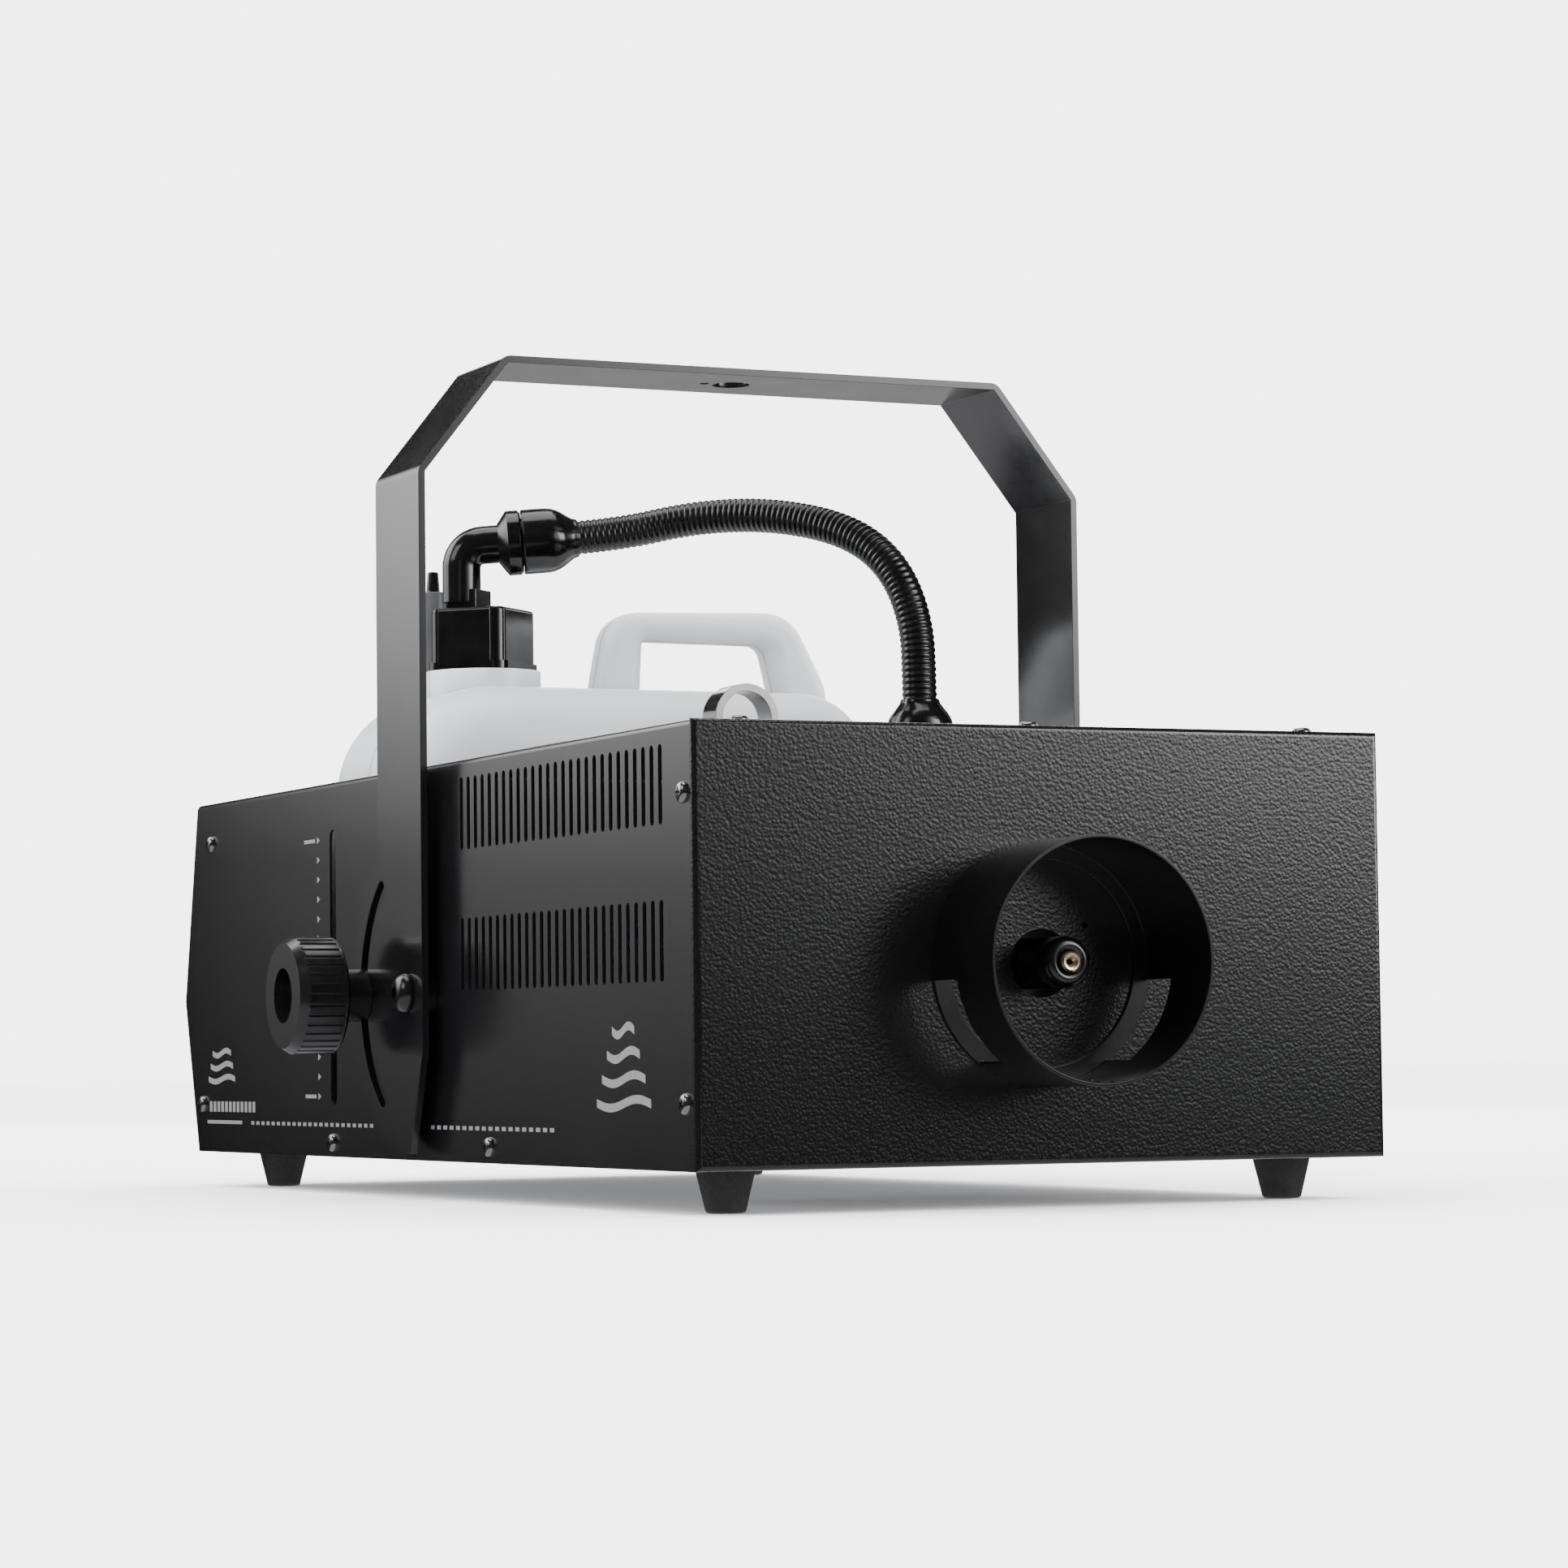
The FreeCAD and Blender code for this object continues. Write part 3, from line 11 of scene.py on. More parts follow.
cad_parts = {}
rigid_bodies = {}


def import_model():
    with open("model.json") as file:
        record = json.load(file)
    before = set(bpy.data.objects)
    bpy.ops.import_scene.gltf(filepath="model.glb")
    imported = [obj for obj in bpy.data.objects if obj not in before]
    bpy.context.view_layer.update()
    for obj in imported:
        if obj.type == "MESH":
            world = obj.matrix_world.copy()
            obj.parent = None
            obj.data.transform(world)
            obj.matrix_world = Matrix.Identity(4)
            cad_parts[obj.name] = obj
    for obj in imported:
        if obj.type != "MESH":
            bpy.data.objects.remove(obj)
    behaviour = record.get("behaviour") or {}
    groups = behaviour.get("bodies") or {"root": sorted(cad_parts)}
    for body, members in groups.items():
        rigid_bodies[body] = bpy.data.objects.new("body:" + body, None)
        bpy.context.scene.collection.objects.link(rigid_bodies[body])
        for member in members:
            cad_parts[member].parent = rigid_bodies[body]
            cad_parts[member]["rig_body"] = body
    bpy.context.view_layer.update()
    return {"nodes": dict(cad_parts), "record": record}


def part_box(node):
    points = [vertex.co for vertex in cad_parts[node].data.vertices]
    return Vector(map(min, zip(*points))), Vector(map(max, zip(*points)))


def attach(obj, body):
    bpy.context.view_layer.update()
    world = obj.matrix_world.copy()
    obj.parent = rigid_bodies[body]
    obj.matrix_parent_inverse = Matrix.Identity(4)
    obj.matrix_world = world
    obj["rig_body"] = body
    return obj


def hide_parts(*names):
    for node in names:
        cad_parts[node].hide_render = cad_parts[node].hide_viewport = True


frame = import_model()

X, Y, Z = Vector((1, 0, 0)), Vector((0, 1, 0)), Vector((0, 0, 1))
MM = 0.001

# ---- places read from the frame ----
CASE_LOW, CASE_HIGH = (Vector(corner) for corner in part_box("cover"))
FRONT = Vector(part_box("front_panel")[0]).y
HALF = CASE_HIGH.x
TOP = CASE_HIGH.z
BOTTOM = CASE_LOW.z


def back(millimetres):
    """Y of a place that far behind the front face."""
    return FRONT + millimetres * MM


# ---- camera ----
CAMERA_PLACE = Vector((-0.8066, -1.7728, 0.0561))
CAMERA_YAW, CAMERA_PITCH, CAMERA_ROLL = (math.radians(a) for a in (25.0, 3.42, -0.69))
CAMERA_LENS = 105.3


def make_camera():
    forward = Vector((math.sin(CAMERA_YAW) * math.cos(CAMERA_PITCH),
                      math.cos(CAMERA_YAW) * math.cos(CAMERA_PITCH), math.sin(CAMERA_PITCH)))
    level = Vector((math.cos(CAMERA_YAW), -math.sin(CAMERA_YAW), 0))
    lift = level.cross(forward)
    right = level * math.cos(CAMERA_ROLL) + lift * math.sin(CAMERA_ROLL)
    up = lift * math.cos(CAMERA_ROLL) - level * math.sin(CAMERA_ROLL)
    data = bpy.data.cameras.new("camera")
    data.lens = CAMERA_LENS
    data.sensor_width = 36.0
    data.clip_end = 50.0
    camera = bpy.data.objects.new("camera", data)
    camera.matrix_world = (Matrix.Translation(CAMERA_PLACE)
                           @ Matrix((right, up, -forward)).transposed().to_4x4())
    bpy.context.scene.collection.objects.link(camera)
    bpy.context.scene.camera = camera


make_camera()


# ---- mesh helpers ----
def add_object(name, data, body="housing"):
    piece = bpy.data.objects.new(name, data)
    bpy.context.scene.collection.objects.link(piece)
    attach(piece, body)
    return piece


def finish_mesh(bm, name, body="housing", sharp=35.0):
    """Turn a bmesh into a shaded piece that rides on a body."""
    bmesh.ops.recalc_face_normals(bm, faces=bm.faces)
    mesh = bpy.data.meshes.new(name)
    bm.to_mesh(mesh)
    bm.free()
    mesh.shade_smooth()
    mesh.set_sharp_from_angle(angle=math.radians(sharp))
    return add_object(name, mesh, body)


def eased(node, width=0.3 * MM, segments=2):
    """Stand in for a CAD node with its own mesh: seams welded and every edge softly rounded."""
    source = frame["nodes"][node]
    bm = bmesh.new()
    bm.from_mesh(source.data)
    bmesh.ops.remove_doubles(bm, verts=bm.verts, dist=0.004 * MM)
    bmesh.ops.dissolve_limit(bm, angle_limit=math.radians(0.4), verts=bm.verts, edges=bm.edges)
    mesh = bpy.data.meshes.new(node + "_skin")
    bm.to_mesh(mesh)
    bm.free()
    for attribute in ("custom_normal", "sharp_face", "sharp_edge"):
        if attribute in mesh.attributes:
            mesh.attributes.remove(mesh.attributes[attribute])
    mesh.shade_smooth()
    piece = add_object(node + "_skin", mesh, source["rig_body"])
    bevel = piece.modifiers.new("rounded_edges", "BEVEL")
    bevel.limit_method = "ANGLE"
    bevel.angle_limit = math.radians(30)
    bevel.width = width
    bevel.segments = segments
    piece.modifiers.new("even_shading", "WEIGHTED_NORMAL")
    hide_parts(node)
    return piece


def turned(bm, profile, start, direction, segments=64):
    """Add a closed solid of revolution from (radius, distance along direction) pairs in metres."""
    turn = direction.to_track_quat("Z", "Y").to_matrix().to_4x4()
    place = Matrix.Translation(start) @ turn
    rings = []
    for radius, height in profile:
        if radius < 1e-7:
            rings.append([bm.verts.new(place @ Vector((0, 0, height)))])
            continue
        rings.append([bm.verts.new(place @ Vector((radius * math.cos(a), radius * math.sin(a), height)))
                      for a in (2 * math.pi * i / segments for i in range(segments))])
    for low, high in zip(rings, rings[1:] + rings[:1]):
        if len(low) == 1 and len(high) == 1:
            continue
        for i in range(segments):
            j = (i + 1) % segments
            corners = [low[i % len(low)], low[j % len(low)], high[j % len(high)], high[i % len(high)]]
            corners = list(dict.fromkeys(corners))
            if len(corners) > 2:
                bm.faces.new(corners)


def sheet(name, half_size):
    """A flat square in its own XY plane."""
    bm = bmesh.new()
    bmesh.ops.create_grid(bm, x_segments=1, y_segments=1, size=half_size)
    mesh = bpy.data.meshes.new(name)
    bm.to_mesh(mesh)
    bm.free()
    made = bpy.data.objects.new(name, mesh)
    bpy.context.scene.collection.objects.link(made)
    return made


def copied(bm, pattern, places):
    """Add the pattern mesh to bm once at each place, a matrix."""
    for place in places:
        count = len(bm.verts)
        bm.from_mesh(pattern)
        bm.verts.ensure_lookup_table()
        bmesh.ops.transform(bm, matrix=place, verts=bm.verts[count:])


def as_pattern(bm, name):
    pattern = bpy.data.meshes.new(name)
    bm.to_mesh(pattern)
    bm.free()
    return pattern


# ---- the feed hose ----
HOSE_DIA = 15.2 * MM
HOSE_PITCH = 2.7 * MM
HOSE_RIB = 0.5 * MM
HOSE_ROUTE = [Vector((x * MM, back(y), z * MM)) for x, y, z in (
    (-40.0, 386.0, 287.6),
    (-13.5, 376.35, 289.7),
    (16.6, 359.0, 296.9),
    (41.9, 331.1, 296.2),
    (64.3, 300.8, 286.9),
    (76.7, 281.6, 270.2),
    (82.6, 271.0, 244.5),
    (83.0, 270.0, 216.0),
    (83.0, 270.0, 197.3),
)]


def spline_path(name, points):
    """The points that a smooth NURBS curve through the route passes."""
    curve = bpy.data.curves.new(name, "CURVE")
    curve.dimensions = "3D"
    spline = curve.splines.new("NURBS")
    spline.points.add(len(points) - 1)
    for control, point in zip(spline.points, points):
        control.co = (*point, 1.0)
    spline.order_u = 3
    spline.use_endpoint_u = True
    spline.resolution_u = 16
    guide = bpy.data.objects.new(name, curve)
    bpy.context.scene.collection.objects.link(guide)
    bpy.context.view_layer.update()
    line = bpy.data.meshes.new_from_object(guide.evaluated_get(bpy.context.evaluated_depsgraph_get()))
    path = [v.co.copy() for v in line.vertices]
    bpy.data.objects.remove(guide)
    bpy.data.meshes.remove(line)
    return path


def resampled(path, step):
    """The same line with evenly spaced points, about step apart."""
    lengths = [0.0]
    for a, b in zip(path, path[1:]):
        lengths.append(lengths[-1] + (b - a).length)
    count = round(lengths[-1] / step)
    points, at = [], 0
    for i in range(count + 1):
        wanted = lengths[-1] * i / count
        while at < len(path) - 2 and lengths[at + 1] < wanted:
            at += 1
        part = (wanted - lengths[at]) / max(lengths[at + 1] - lengths[at], 1e-9)
        points.append(path[at].lerp(path[at + 1], part))
    return points


def tube_along(bm, path, radius_at, segments=28):
    """Add a round tube along the path; radius_at gives its radius from the distance along it."""
    side = (path[1] - path[0]).orthogonal().normalized()
    travelled, rings = 0.0, []
    for i, point in enumerate(path):
        ahead = path[min(i + 1, len(path) - 1)] - path[max(i - 1, 0)]
        ahead.normalize()
        side = (side - ahead * side.dot(ahead)).normalized()
        other = ahead.cross(side)
        if i:
            travelled += (point - path[i - 1]).length
        radius = radius_at(travelled)
        rings.append([bm.verts.new(point + side * radius * math.cos(a) + other * radius * math.sin(a))
                      for a in (2 * math.pi * k / segments for k in range(segments))])
    for low, high in zip(rings, rings[1:]):
        for k in range(segments):
            n = (k + 1) % segments
            bm.faces.new((low[k], low[n], high[n], high[k]))
    bm.faces.new(rings[0])
    bm.faces.new(rings[-1])


def feed_hose():
    """A corrugated conduit: a wave of rounded ribs along the whole route."""
    path = resampled(spline_path("hose_guide", HOSE_ROUTE), HOSE_PITCH / 8)

    def ribbed(distance):
        wave = 0.5 + 0.5 * math.cos(2 * math.pi * distance / HOSE_PITCH)
        return HOSE_DIA / 2 - HOSE_RIB * (1 - wave ** 0.6)

    bm = bmesh.new()
    tube_along(bm, path, ribbed)
    hose = finish_mesh(bm, "corrugated_hose", sharp=80)
    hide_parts("feed_hose")
    return hose


# ---- materials ----
class Finish:
    """A node material with a Principled shader and short calls for what feeds it."""

    def __init__(self, name, colour, roughness, metallic=0.0, **sockets):
        self.material = bpy.data.materials.new(name)
        self.material.use_nodes = True
        self.tree = self.material.node_tree
        self.shader = self.tree.nodes["Principled BSDF"]
        self.shader.inputs["Base Color"].default_value = (*colour, 1.0)
        self.shader.inputs["Roughness"].default_value = roughness
        self.shader.inputs["Metallic"].default_value = metallic
        for socket, value in sockets.items():
            self.shader.inputs[socket.replace("_", " ")].default_value = value
        self.coordinates = self.tree.nodes.new("ShaderNodeTexCoord").outputs["Object"]
        self.height = None

    def node(self, kind, inputs=None, **settings):
        made = self.tree.nodes.new(kind)
        for key, value in settings.items():
            setattr(made, key, value)
        for key, value in (inputs or {}).items():
            if isinstance(value, bpy.types.NodeSocket):
                self.tree.links.new(value, made.inputs[key])
            else:
                made.inputs[key].default_value = value
        return made

    def stretched(self, scale):
        """The coordinates, scaled by a different factor along each axis."""
        return self.node("ShaderNodeMapping", {"Vector": self.coordinates, "Scale": scale}).outputs["Vector"]

    def noise(self, size, detail=3.0, rough=0.55, distortion=0.0, stretch=None):
        """Noise from 0 to 1 whose patches are about size metres across."""
        where = self.stretched(stretch) if stretch else self.coordinates
        return self.node("ShaderNodeTexNoise", {"Vector": where, "Scale": 1 / size, "Detail": detail,
                                                "Roughness": rough, "Distortion": distortion}).outputs["Fac"]

    def cells(self, size, feature="F1", smooth=0.5, randomness=1.0):
        made = self.node("ShaderNodeTexVoronoi", {"Vector": self.coordinates, "Scale": 1 / size,
                                                  "Randomness": randomness}, feature=feature)
        if feature == "SMOOTH_F1":
            made.inputs["Smoothness"].default_value = smooth
        return made.outputs["Distance"]

    def fit(self, value, low, high, to_low, to_high):
        """Clamp value between low and high and spread it from to_low to to_high."""
        return self.node("ShaderNodeMapRange", {"Value": value, "From Min": low, "From Max": high,
                                                "To Min": to_low, "To Max": to_high}).outputs["Result"]

    def sum(self, a, b, share=1.0):
        made = self.node("ShaderNodeMath", {0: b, 1: share, 2: a}, operation="MULTIPLY_ADD")
        return made.outputs["Value"]

    def ramp(self, value, stops):
        """The colour that (position, colour) stops give for value."""
        made = self.node("ShaderNodeValToRGB", {"Fac": value})
        elements = made.color_ramp.elements
        while len(elements) < len(stops):
            elements.new(0.5)
        for element, (position, colour) in zip(elements, stops):
            element.position = position
            element.color = (*colour, 1.0)
        return made.outputs["Color"]

    def colour_from(self, value, *stops):
        """Base colour from a ramp of (position, colour) stops."""
        self.tree.links.new(self.ramp(value, stops), self.shader.inputs["Base Color"])
        return self

    def roughness_from(self, value, low, high):
        self.tree.links.new(self.fit(value, 0.25, 0.75, low, high), self.shader.inputs["Roughness"])
        return self

    def bump(self, value, distance, strength=1.0):
        """Raise the surface by value, up to distance metres. Calls add up."""
        inputs = {"Height": value, "Distance": distance, "Strength": strength}
        if self.height:
            inputs["Normal"] = self.height
        self.height = self.node("ShaderNodeBump", inputs).outputs["Normal"]
        self.tree.links.new(self.height, self.shader.inputs["Normal"])
        return self


def shade(colour, factor):
    return tuple(min(1.0, c * factor) for c in colour)


def satin_paint(name, colour, roughness, grain=0.7 * MM, relief=0.008 * MM):
    """Powder coat: fine orange peel, slight cloudiness and a few smears in its gloss."""
    finish = Finish(name, colour, roughness)
    cloud = finish.noise(60 * MM, 4)
    peel = finish.noise(grain, 2, 0.6)
    finish.colour_from(cloud, (0.3, shade(colour, 0.86)), (0.7, shade(colour, 1.12)))
    finish.roughness_from(finish.noise(25 * MM, 5, 0.65), roughness - 0.03, roughness + 0.04)
    finish.bump(peel, relief)
    return finish.material


def wrinkle_paint(name, colour):
    """Wrinkle-finish coat: a leathery net of rounded cells with fine grain on them, with painted shade in
    the grooves and a painted highlight on the raised cells.
    """
    finish = Finish(name, colour, 0.27)
    warp = finish.noise(2.4 * MM, 2, 0.5)
    cells = finish.cells(1.3 * MM, "SMOOTH_F1", 0.6)
    small = finish.noise(0.5 * MM, 2, 0.5)
    height = finish.sum(finish.fit(cells, 0.1, 0.75, 1.0, 0.0), warp, 0.7)
    # Painted shade and highlight: the colour follows the relief, darker in the grooves between cells and
    # lighter on their raised tops.
    finish.colour_from(height, (0.3, shade(colour, 0.8)), (0.85, shade(colour, 1.2)))
    finish.roughness_from(small, 0.18, 0.26)
    finish.bump(height, 0.055 * MM)
    finish.bump(small, 0.010 * MM)
    return finish.material


def moulded(name, colour, roughness, grain=0.35 * MM, relief=0.012 * MM, **sockets):
    """Injection-moulded plastic: a fine spark-eroded grain and faint flow clouds."""
    finish = Finish(name, colour, roughness, **sockets)
    finish.colour_from(finish.noise(18 * MM, 4, 0.6), (0.3, shade(colour, 0.85)), (0.7, shade(colour, 1.2)))
    finish.roughness_from(finish.noise(9 * MM, 4, 0.6), roughness - 0.04, roughness + 0.07)
    finish.bump(finish.noise(grain, 2, 0.55), relief)
    return finish.material


def metal(name, colour, roughness, stretch=(1, 1, 1), relief=0.006 * MM, grain=0.4 * MM):
    """Bare or plated metal with fine marks, drawn out along one axis where it is brushed."""
    finish = Finish(name, colour, roughness, 1.0)
    marks = finish.noise(grain, 3, 0.6, stretch=stretch)
    finish.colour_from(finish.noise(12 * MM, 4, 0.6), (0.3, shade(colour, 0.88)), (0.7, shade(colour, 1.05)))
    finish.roughness_from(marks, roughness - 0.05, roughness + 0.1)
    finish.bump(marks, relief)
    return finish.material


def tank_plastic():
    """Blow-moulded natural polyethylene: milky, waxy, and slightly uneven."""
    white = (0.43, 0.445, 0.465)
    finish = Finish("tank_plastic", white, 0.33, Subsurface_Weight=0.55, Subsurface_Scale=0.02)
    finish.shader.inputs["Subsurface Radius"].default_value = (1.0, 0.95, 0.9)
    finish.colour_from(finish.noise(45 * MM, 3), (0.3, shade(white, 0.96)), (0.7, shade(white, 1.03)))
    finish.roughness_from(finish.noise(14 * MM, 4, 0.6), 0.28, 0.42)
    finish.bump(finish.noise(6 * MM, 3), 0.12 * MM, 0.5)
    finish.bump(finish.noise(0.6 * MM, 2), 0.01 * MM)
    return finish.material


def rubber():
    finish = Finish("foot_rubber", (0.0035, 0.0035, 0.0035), 0.55)
    finish.roughness_from(finish.noise(2 * MM, 4, 0.6), 0.5, 0.7)
    finish.colour_from(finish.noise(5 * MM, 5, 0.7),
                       (0.35, (0.0025, 0.0025, 0.0025)), (0.75, (0.006, 0.006, 0.0058)))
    finish.bump(finish.noise(0.5 * MM, 3), 0.03 * MM)
    return finish.material


def board():
    finish = Finish("circuit_board", (0.01, 0.09, 0.035), 0.35)
    finish.colour_from(finish.cells(4 * MM, "F1"), (0.2, (0.006, 0.06, 0.025)), (0.6, (0.012, 0.11, 0.045)))
    finish.bump(finish.noise(1.5 * MM, 2), 0.03 * MM)
    return finish.material


def display_glass():
    finish = Finish("display_glass", (0.012, 0.02, 0.026), 0.08, Coat_Weight=1.0, Coat_Roughness=0.03)
    finish.colour_from(finish.noise(30 * MM, 2), (0.3, (0.010, 0.018, 0.024)), (0.7, (0.016, 0.026, 0.033)))
    finish.bump(finish.noise(20 * MM, 1), 0.01 * MM)
    return finish.material


BLACK = (0.0018, 0.0018, 0.002)
MATERIALS = {
    "case_paint": satin_paint("case_paint", (0.0026, 0.0026, 0.003), 0.19),
    "wrinkle_paint": wrinkle_paint("wrinkle_paint", (0.0012, 0.0012, 0.0014)),
    "duct_paint": satin_paint("duct_paint", (0.0010, 0.0010, 0.0012), 0.22),
    "yoke_paint": satin_paint("yoke_paint", (0.0026, 0.0026, 0.003), 0.15),
    "zinc_sheet": metal("zinc_sheet", (0.42, 0.43, 0.44), 0.38, (1, 12, 1)),
    "nickel": metal("nickel", (0.24, 0.237, 0.228), 0.13),
    "black_steel": satin_paint("black_steel", BLACK, 0.20),
    "brass": metal("brass", (0.62, 0.50, 0.33), 0.26, (1, 20, 1)),
    "cast_aluminium": metal("cast_aluminium", (0.6, 0.6, 0.61), 0.45, grain=0.9 * MM, relief=0.05 * MM),
    "rubber": rubber(),
    "black_nylon": moulded("black_nylon", BLACK, 0.14),
    "hose_plastic": moulded("hose_plastic", (0.0012, 0.0012, 0.0014), 0.26),
    "clear_tube": moulded("clear_tube", (0.75, 0.78, 0.76), 0.2, Transmission_Weight=0.5),
    "knob_plastic": moulded("knob_plastic", (0.002, 0.002, 0.0023), 0.22, 0.5 * MM, 0.008 * MM),
    "tank_plastic": tank_plastic(),
    "filter_bronze": metal("filter_bronze", (0.45, 0.3, 0.16), 0.55, grain=0.8 * MM, relief=0.1 * MM),
    "board": board(),
    "display_pane": display_glass(),
    "socket_plastic": moulded("socket_plastic", (0.0025, 0.0025, 0.0028), 0.28),
    "button_plastic": moulded("button_plastic", (0.045, 0.047, 0.052), 0.34),
    "rocker_plastic": moulded("rocker_plastic", (0.10, 0.0025, 0.002), 0.18),
}


def ink():
    """Screen-printed pale ink, a little uneven in its cover."""
    finish = Finish("print_ink", (0.10, 0.10, 0.104), 0.5)
    finish.colour_from(finish.noise(1.2 * MM, 3, 0.6),
                       (0.3, (0.075, 0.075, 0.078)), (0.7, (0.12, 0.12, 0.124)))
    finish.bump(finish.noise(0.4 * MM, 2), 0.01 * MM)
    return finish.material


def lit_glass():
    """The lit figures of the display."""
    finish = Finish("lit_figures", (0.10, 0.45, 0.70), 0.3, Emission_Strength=2.4)
    finish.shader.inputs["Emission Color"].default_value = (0.12, 0.55, 0.85, 1.0)
    finish.colour_from(finish.noise(3 * MM, 2), (0.3, (0.09, 0.42, 0.66)), (0.7, (0.12, 0.5, 0.75)))
    return finish.material


INK = ink()


def dress_cad_nodes():
    """Give every CAD node the finished material of its slot."""
    for subpart in frame["record"]["subparts"]:
        node = frame["nodes"][subpart["node"]]
        node.data.materials.clear()
        node.data.materials.append(MATERIALS[subpart["material_slot"]])


def dress(piece, slot):
    piece.data.materials.clear()
    piece.data.materials.append(MATERIALS[slot])
    return piece


# ---- CAD shapes kept, with rounded edges ----
EDGES = {
    0.5 * MM: ("front_panel", "rubber_feet"),
    0.4 * MM: ("yoke", "tank_cap", "gland_body", "power_inlet", "power_rocker"),
    0.3 * MM: ("outlet_duct", "safety_eye", "elbow_body", "elbow_nut", "gland_nut",
               "rocker_bezel", "dmx_in_socket", "dmx_out_socket", "fuse_drawer", "menu_button_1",
               "menu_button_2", "menu_button_3", "menu_button_4", "display_window"),
    0.25 * MM: ("cover", "rear_panel", "left_knob", "right_knob", "yoke_spacers"),
}


def round_edges():
    slots = {subpart["node"]: subpart["material_slot"] for subpart in frame["record"]["subparts"]}
    for width, nodes in EDGES.items():
        for node in nodes:
            dress(eased(node, width), slots[node])


# ---- screws ----
SCREW_HEAD, SCREW_RISE = 4.0 * MM, 2.4 * MM
SCREW_TURN = 0.9                                     # radians from one screw's cross to the next
SIDE_SCREWS = ((9.0, 152.0), (9.0, 40.0), (203.0, 22.4), (389.0, 22.0), (557.0, 159.0), (571.0, 38.0))
TOP_SCREWS = ((-119.0, 15.0), (0.0, 15.0), (119.0, 15.0))


def cut(solid, cutter):
    """The first bmesh with the second taken away."""
    objects = []
    for bm, name in ((solid, "kept"), (cutter, "taken")):
        bmesh.ops.recalc_face_normals(bm, faces=bm.faces)
        mesh = bpy.data.meshes.new(name)
        bm.to_mesh(mesh)
        bm.free()
        objects.append(bpy.data.objects.new(name, mesh))
        bpy.context.scene.collection.objects.link(objects[-1])
    boolean = objects[0].modifiers.new("cut", "BOOLEAN")
    boolean.object = objects[1]
    boolean.operation = "DIFFERENCE"
    boolean.solver = "EXACT"
    bpy.context.view_layer.update()
    made = bmesh.new()
    made.from_object(objects[0], bpy.context.evaluated_depsgraph_get())
    for leftover in objects:
        bpy.data.objects.remove(leftover)
    return made


def block(bm, low, high, place=Matrix.Identity(4), taper=1.0):
    """Add a box between two corners; taper is the size of its low end."""
    corners = []
    for z, size in ((low[2], taper), (high[2], 1.0)):
        corners += [bm.verts.new(place @ Vector((x * size, y * size, z)))
                    for x, y in ((low[0], low[1]), (high[0], low[1]), (high[0], high[1]), (low[0], high[1]))]
    for face in ((0, 3, 2, 1), (4, 5, 6, 7), (0, 1, 5, 4), (1, 2, 6, 5), (2, 3, 7, 6), (3, 0, 4, 7)):
        bm.faces.new([corners[i] for i in face])


def screw_head():
    """A domed pan head along +Z with a tapered cross recess."""
    steps = 9
    profile = [(0, -0.3 * MM), (SCREW_HEAD, -0.3 * MM)]
    for step in range(steps + 1):
        angle = math.pi / 2 * step / steps
        profile.append((SCREW_HEAD * math.cos(angle) ** 0.6, SCREW_RISE * math.sin(angle) ** 0.9))
    head = bmesh.new()
    turned(head, profile, Vector(), Z, 36)
    long_half, short_half = 2.3 * MM, 0.5 * MM
    for size in ((long_half, short_half), (short_half, long_half)):
        cross = bmesh.new()
        block(cross, (-size[0], -size[1], 0.9 * MM), (size[0], size[1], 3.5 * MM), taper=0.7)
        head = cut(head, cross)
    return head


def pan_screws():
    """Every cover screw, each turned to a different angle as a real one is."""
    pattern = as_pattern(screw_head(), "screw_pattern")
    seats = [(Vector((side * HALF, back(y), z * MM)), X * side) for side in (-1, 1) for y, z in SIDE_SCREWS]
    seats += [(Vector((x * MM, back(y), TOP)), Z) for x, y in TOP_SCREWS]
    bm = bmesh.new()
    copied(bm, pattern, [Matrix.Translation(seat) @ out.to_track_quat("Z", "Y").to_matrix().to_4x4()
                         @ Matrix.Rotation(SCREW_TURN * i, 4, "Z") for i, (seat, out) in enumerate(seats)])
    screws = finish_mesh(bm, "pan_head_screws", sharp=40)
    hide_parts("cover_screws")
    return dress(screws, "nickel")


def pivot_buttons():
    """Smooth button-head bolts at the yoke's pivots, with a hexagon socket and a round shank."""
    low, high = (Vector(corner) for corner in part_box("pivot_bolts"))
    centre_y, centre_z = (low.y + high.y) / 2, (low.z + high.z) / 2
    radius, rise, shank, edge = 8.0 * MM, 5.9 * MM, 4.0 * MM, 0.8 * MM
    hexagon, hexagon_depth = 2.9 * MM, 2.2 * MM
    steps = 12
    start = high.x - rise
    profile = [(0, 0.6 * MM), (shank, 0.6 * MM), (shank, 0), (radius - 0.5 * MM, 0)]
    for step in range(steps + 1):
        angle = math.pi / 2 * step / steps
        profile.append((radius * math.cos(angle) ** 0.8, edge + (rise - edge) * math.sin(angle)))
    head = bmesh.new()
    turned(head, profile, Vector(), Z, 64)
    socket = bmesh.new()
    turned(socket, [(0, rise - hexagon_depth - 0.4 * MM), (hexagon, rise - hexagon_depth),
                    (hexagon, rise + MM), (0, rise + MM)], Vector(), Z, 6)
    pattern = as_pattern(cut(head, socket), "bolt_pattern")
    bm = bmesh.new()
    for side in (-1, 1):
        turn = (X * side).to_track_quat("Z", "Y").to_matrix().to_4x4()
        copied(bm, pattern, [Matrix.Translation((side * start, centre_y, centre_z)) @ turn])
        turned(bm, [(0, 0), (shank, 0), (shank, 20 * MM), (0, 20 * MM)],
               Vector((side * (start + 0.5 * MM), centre_y, centre_z)), X * -side, 24)
    bolts = finish_mesh(bm, "pivot_button_bolts", sharp=40)
    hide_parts("pivot_bolts")
    return dress(bolts, "black_steel")


VENT_TIP = 9.4 * MM


